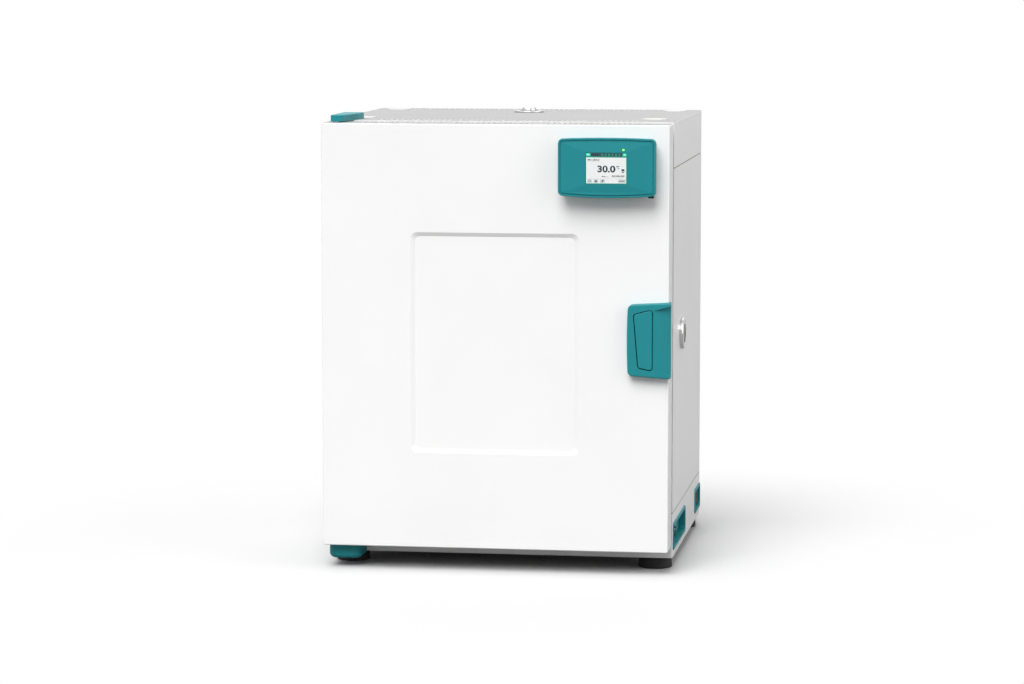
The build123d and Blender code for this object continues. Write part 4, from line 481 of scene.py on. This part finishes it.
def screen_point(x, z, layer):
    return (SCREEN_X + x * MM, SCREEN_Y - layer * LAYER, SCREEN_Z + z * MM)


def screen_shape(bm, points, layer, colour):
    """A shape of the picture, its points in order round it."""
    plate(bm, [screen_point(x, z, layer) for x, z in points], SCREEN_PUSH, colour)


def screen_plate(bm, x0, x1, z0, z1, layer, colour, corner=0.0):
    """A rectangle of the picture, with round corners where a radius is given."""
    points = [(x1, z1), (x0, z1), (x0, z0), (x1, z0)]
    if corner:
        centres = [
            (x1 - corner, z1 - corner), (x0 + corner, z1 - corner),
            (x0 + corner, z0 + corner), (x1 - corner, z0 + corner),
        ]
        points = []
        for quarter, (cx, cz) in enumerate(centres):
            for step in range(CORNER_STEPS):
                turn = radians(90 * (quarter + step / (CORNER_STEPS - 1)))
                points.append((cx + corner * cos(turn), cz + corner * sin(turn)))
    screen_shape(bm, points[::-1], layer, colour)


# Plates: left, right, bottom, top, layer, colour, corner radius
plates = [
    (-34.9, 34.9, -26.1, 26.1, 0, BAND),
    (-34.7, 34.7, -26.0, 18.9, 1, EDGE),
    (-33.9, 33.9, -24.9, 18.5, 2, PALE),
    (-30.0, 27.0, -15.6, 17.0, 3, PALE),
    (-26.4, 27.6, 20.4, 25.8, 1, BAR),
    (-34.6, -26.8, 21.2, 25.9, 1, TURQUOISE),
    (28.0, 34.6, 21.2, 25.9, 1, TURQUOISE),
    (-32.2, -29.4, 22.5, 24.6, 2, PALE, 0.5),
    (30.0, 32.4, 22.4, 24.0, 2, PALE, 0.5),
    (-32.0, -20.0, 12.0, 16.4, 4, GREY, 0.4),
    (-31.4, -26.6, 14.2, 15.4, 5, SOFT),
    (-31.8, -10.4, 12.3, 12.8, 3, SOFT),
    (26.0, 31.0, -4.4, -0.8, 4, BAR, 0.5),
    (26.4, 30.6, -7.0, -5.4, 4, SOFT, 0.4),
    (26.6, 30.4, 3.2, 3.6, 4, GREY),
    (-33.2, 33.2, -17.4, -17.1, 4, GREY),
    (20.4, 33.2, -24.2, -18.0, 3, GREY, 0.9),
    (22.2, 31.4, -21.7, -20.3, 4, SOFT, 0.3),
    (-7.5, -1.9, -13.4, -12.6, 4, SOFT),
    (-7.5, 4.3, -14.2, -13.7, 4, SOFT),
]
# Bars and marks of the title band
for i in range(9):
    plates.append((-25.2 + i * 1.45, -24.4 + i * 1.45, 21.2, 25.0, 2, INK))
for i in range(6):
    plates.append((-8.0 + i * 5.8, -5.4 + i * 5.8, 21.4 + 0.5 * (i % 2), 25.0, 2, BAND))
# Buttons, and steps on the third one
BUTTON_HALF = 4.2
BUTTONS = [-28.2, -17.3, -6.4]
for x in BUTTONS:
    plates.append((x - BUTTON_HALF, x + BUTTON_HALF, -24.2, -18.0, 3, GREY, 0.9))
for i in range(3):
    left = -7.9 + i * 0.5
    right = -5.2 + i * 0.7
    plates.append((left, right, -23.0 + i * 1.45, -22.0 + i * 1.45, 4, INK))

picture = bmesh.new()
for row in plates:
    screen_plate(picture, *row)

# Signs on the first two buttons: a ring and a drop
RING_PARTS = 16
RING_HEIGHT = -21.1
RING_INNER = 1.5
RING_OUTER = 2.1
for i in range(RING_PARTS):
    first = radians(i * 360 / RING_PARTS)
    second = radians((i + 1) * 360 / RING_PARTS)
    part = [(RING_INNER, first), (RING_OUTER, first), (RING_OUTER, second), (RING_INNER, second)]
    points = [(BUTTONS[0] + r * cos(t), RING_HEIGHT + r * sin(t)) for r, t in part]
    screen_shape(picture, points, 4, SOFT)
drop = []
for turn in range(0, 360, 20):
    t = radians(turn)
    half_width = 1.9 * (1 - 0.35 * cos(t))
    drop.append((BUTTONS[1] + half_width * sin(t), -21.3 + 2.2 * cos(t)))
screen_shape(picture, drop, 4, SOFT)
finish_piece("screen_picture", picture, screen_colours)

# Figures: name, text, left, bottom, height, width, layer, boldness
FIGURES = [
    ("screen_reading", "30.0", -14.8, -6.5, 11.6, 30.4, 4, 0.034),
    ("screen_unit", "°C", 17.2, -0.8, 5.6, 5.4, 4, 0.03),
    ("screen_setting", "30.0", -21.4, 13.4, 3.0, 9.6, 5, 0.01),
    ("screen_time", "00:00:00", 9.4, -14.2, 3.0, 21.6, 4, 0.025),
]
for name, text, left, bottom, height, width, layer, bold in FIGURES:
    curve = bpy.data.curves.new(name, "FONT")
    curve.body = text
    curve.size = 1.0
    curve.offset = bold
    curve.resolution_u = 6
    holder = bpy.data.objects.new(name + "_source", curve)
    bpy.context.scene.collection.objects.link(holder)
    bpy.context.view_layer.update()
    flat = bpy.data.meshes.new_from_object(holder)
    bpy.data.objects.remove(holder)
    xs = [v.co.x for v in flat.vertices]
    ys = [v.co.y for v in flat.vertices]
    wide = width / (max(xs) - min(xs))
    tall = height / (max(ys) - min(ys))
    for v in flat.vertices:
        x = left + (v.co.x - min(xs)) * wide
        z = bottom + (v.co.y - min(ys)) * tall
        v.co = screen_point(x, z, layer)
    bm = bmesh.new()
    bm.from_mesh(flat)
    bpy.data.meshes.remove(flat)
    grown = bmesh.ops.extrude_face_region(bm, geom=bm.faces[:])
    moved = [g for g in grown["geom"] if isinstance(g, bmesh.types.BMVert)]
    bmesh.ops.translate(bm, verts=moved, vec=SCREEN_PUSH)
    bmesh.ops.recalc_face_normals(bm, faces=bm.faces[:])
    finish_piece(name, bm, [screen_colours[INK]])


# Small black service cap under the controller's lower right corner: a square with round sides
CAP_INSET_X = 0.0062
CAP_INSET_Y = 0.0036
CAP_HALF_X = 0.0052
CAP_HALF_Y = 0.0036
CAP_SUNK = 0.0016
CAP_THICK = 0.0048
CAP_SQUARENESS = 0.7
CAP_POINTS = 24
housing_low, housing_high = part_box("controller_back")
cap = bmesh.new()
outline = []
for i in range(CAP_POINTS):
    t = radians(i * 360 / CAP_POINTS)
    grow = 1 / max(abs(cos(t)), abs(sin(t))) ** CAP_SQUARENESS
    x = housing_high.x - CAP_INSET_X + CAP_HALF_X * cos(t) * grow
    y = housing_low.y + CAP_INSET_Y + CAP_HALF_Y * sin(t) * grow
    outline.append((x, y, housing_low.z + CAP_SUNK))
plate(cap, outline, (0, 0, -CAP_THICK))
bmesh.ops.recalc_face_normals(cap, faces=cap.faces[:])
finish_piece("service_cap", cap, [black])


scene = bpy.context.scene

# Camera
camera_data = bpy.data.cameras.new("camera")
camera_data.lens = CAMERA_LENS
camera_data.sensor_width = CAMERA_SENSOR
camera_data.sensor_fit = "HORIZONTAL"
camera_data.clip_end = CAMERA_REACH
camera = bpy.data.objects.new("camera", camera_data)
camera.location = CAMERA_PLACE
camera.rotation_euler = [radians(a) for a in CAMERA_TURN]
scene.collection.objects.link(camera)
scene.camera = camera

# Soft lamps: a key from the front and above, one overhead, a fill from each side, one behind
for name, strength, height, turn, softness in SUNS:
    light = bpy.data.lights.new(name, "SUN")
    light.energy = strength
    light.angle = radians(softness)
    lamp = bpy.data.objects.new(name, light)
    lamp.rotation_euler = (radians(90 - height), 0, radians(-turn))
    scene.collection.objects.link(lamp)

# World: white to the camera, in glass and in reflections, plain soft light on the object
world = bpy.data.worlds.new("world")
world.use_nodes = True
scene.world = world
tree = world.node_tree
back = tree.nodes["Background"]
back.inputs["Color"].default_value = (1, 1, 1, 1)
direction = tree.nodes.new("ShaderNodeTexCoord")
split = tree.nodes.new("ShaderNodeSeparateXYZ")
tree.links.new(direction.outputs["Generated"], split.inputs["Vector"])
soft = spread(tree, split.outputs["Z"], AMBIENT_LOW, AMBIENT_HIGH, 0.0, AMBIENT_FROM)
white = seen(tree, 1.0)
unseen = maths(tree, "SUBTRACT", 1.0, white)
lit = maths(tree, "MULTIPLY", soft, unseen)
tree.links.new(maths(tree, "ADD", lit, white), back.inputs["Strength"])

# Floor: a plain pale plane
floor = bmesh.new()
bmesh.ops.create_grid(floor, x_segments=FLOOR_CELLS, y_segments=FLOOR_CELLS, size=FLOOR_HALF)
floor_mesh = bpy.data.meshes.new("floor")
floor.to_mesh(floor_mesh)
floor.free()
floor_obj = bpy.data.objects.new("floor", floor_mesh)
scene.collection.objects.link(floor_obj)
floor_mat, tree, shader = new_material("floor_white")
tree.nodes.remove(shader)
diffuse = tree.nodes.new("ShaderNodeBsdfDiffuse")
cloud = noise(tree, place(tree), 0.8, 2)
pale = (FLOOR_COLOUR, FLOOR_COLOUR, FLOOR_COLOUR, 1)
tint = two_colours(tree, cloud, shade(pale, 0.995), pale)
in_view = seen(tree, FLOOR_IN_METAL)
scaled = vector_maths(tree, "SCALE", tint)
tree.links.new(spread(tree, in_view, 1.0, FLOOR_SEEN, 0.0, 1.0), scaled.inputs["Scale"])
tree.links.new(scaled.outputs["Vector"], diffuse.inputs["Color"])
# Far from the oven the floor fades into the white background
spot = tree.nodes.new("ShaderNodeNewGeometry")
outward = vector_maths(tree, "ABSOLUTE", spot.outputs["Position"])
footprint = (cad_box[1][0], cad_box[1][1], 0)
beyond = vector_maths(tree, "SUBTRACT", outward.outputs["Vector"], footprint)
outside = vector_maths(tree, "MAXIMUM", beyond.outputs["Vector"])
reach = vector_maths(tree, "LENGTH", outside.outputs["Vector"])
far = spread(tree, reach.outputs["Value"], 0.0, 1.0, 0.0, FLOOR_FAR)
glow = tree.nodes.new("ShaderNodeEmission")
blend = tree.nodes.new("ShaderNodeMixShader")
tree.links.new(maths(tree, "MULTIPLY", far, in_view), blend.inputs[0])
tree.links.new(diffuse.outputs[0], blend.inputs[1])
tree.links.new(glow.outputs[0], blend.inputs[2])
tree.links.new(blend.outputs[0], tree.nodes["Material Output"].inputs["Surface"])
floor_mesh.materials.append(floor_mat)

scene.view_settings.view_transform = "Standard"
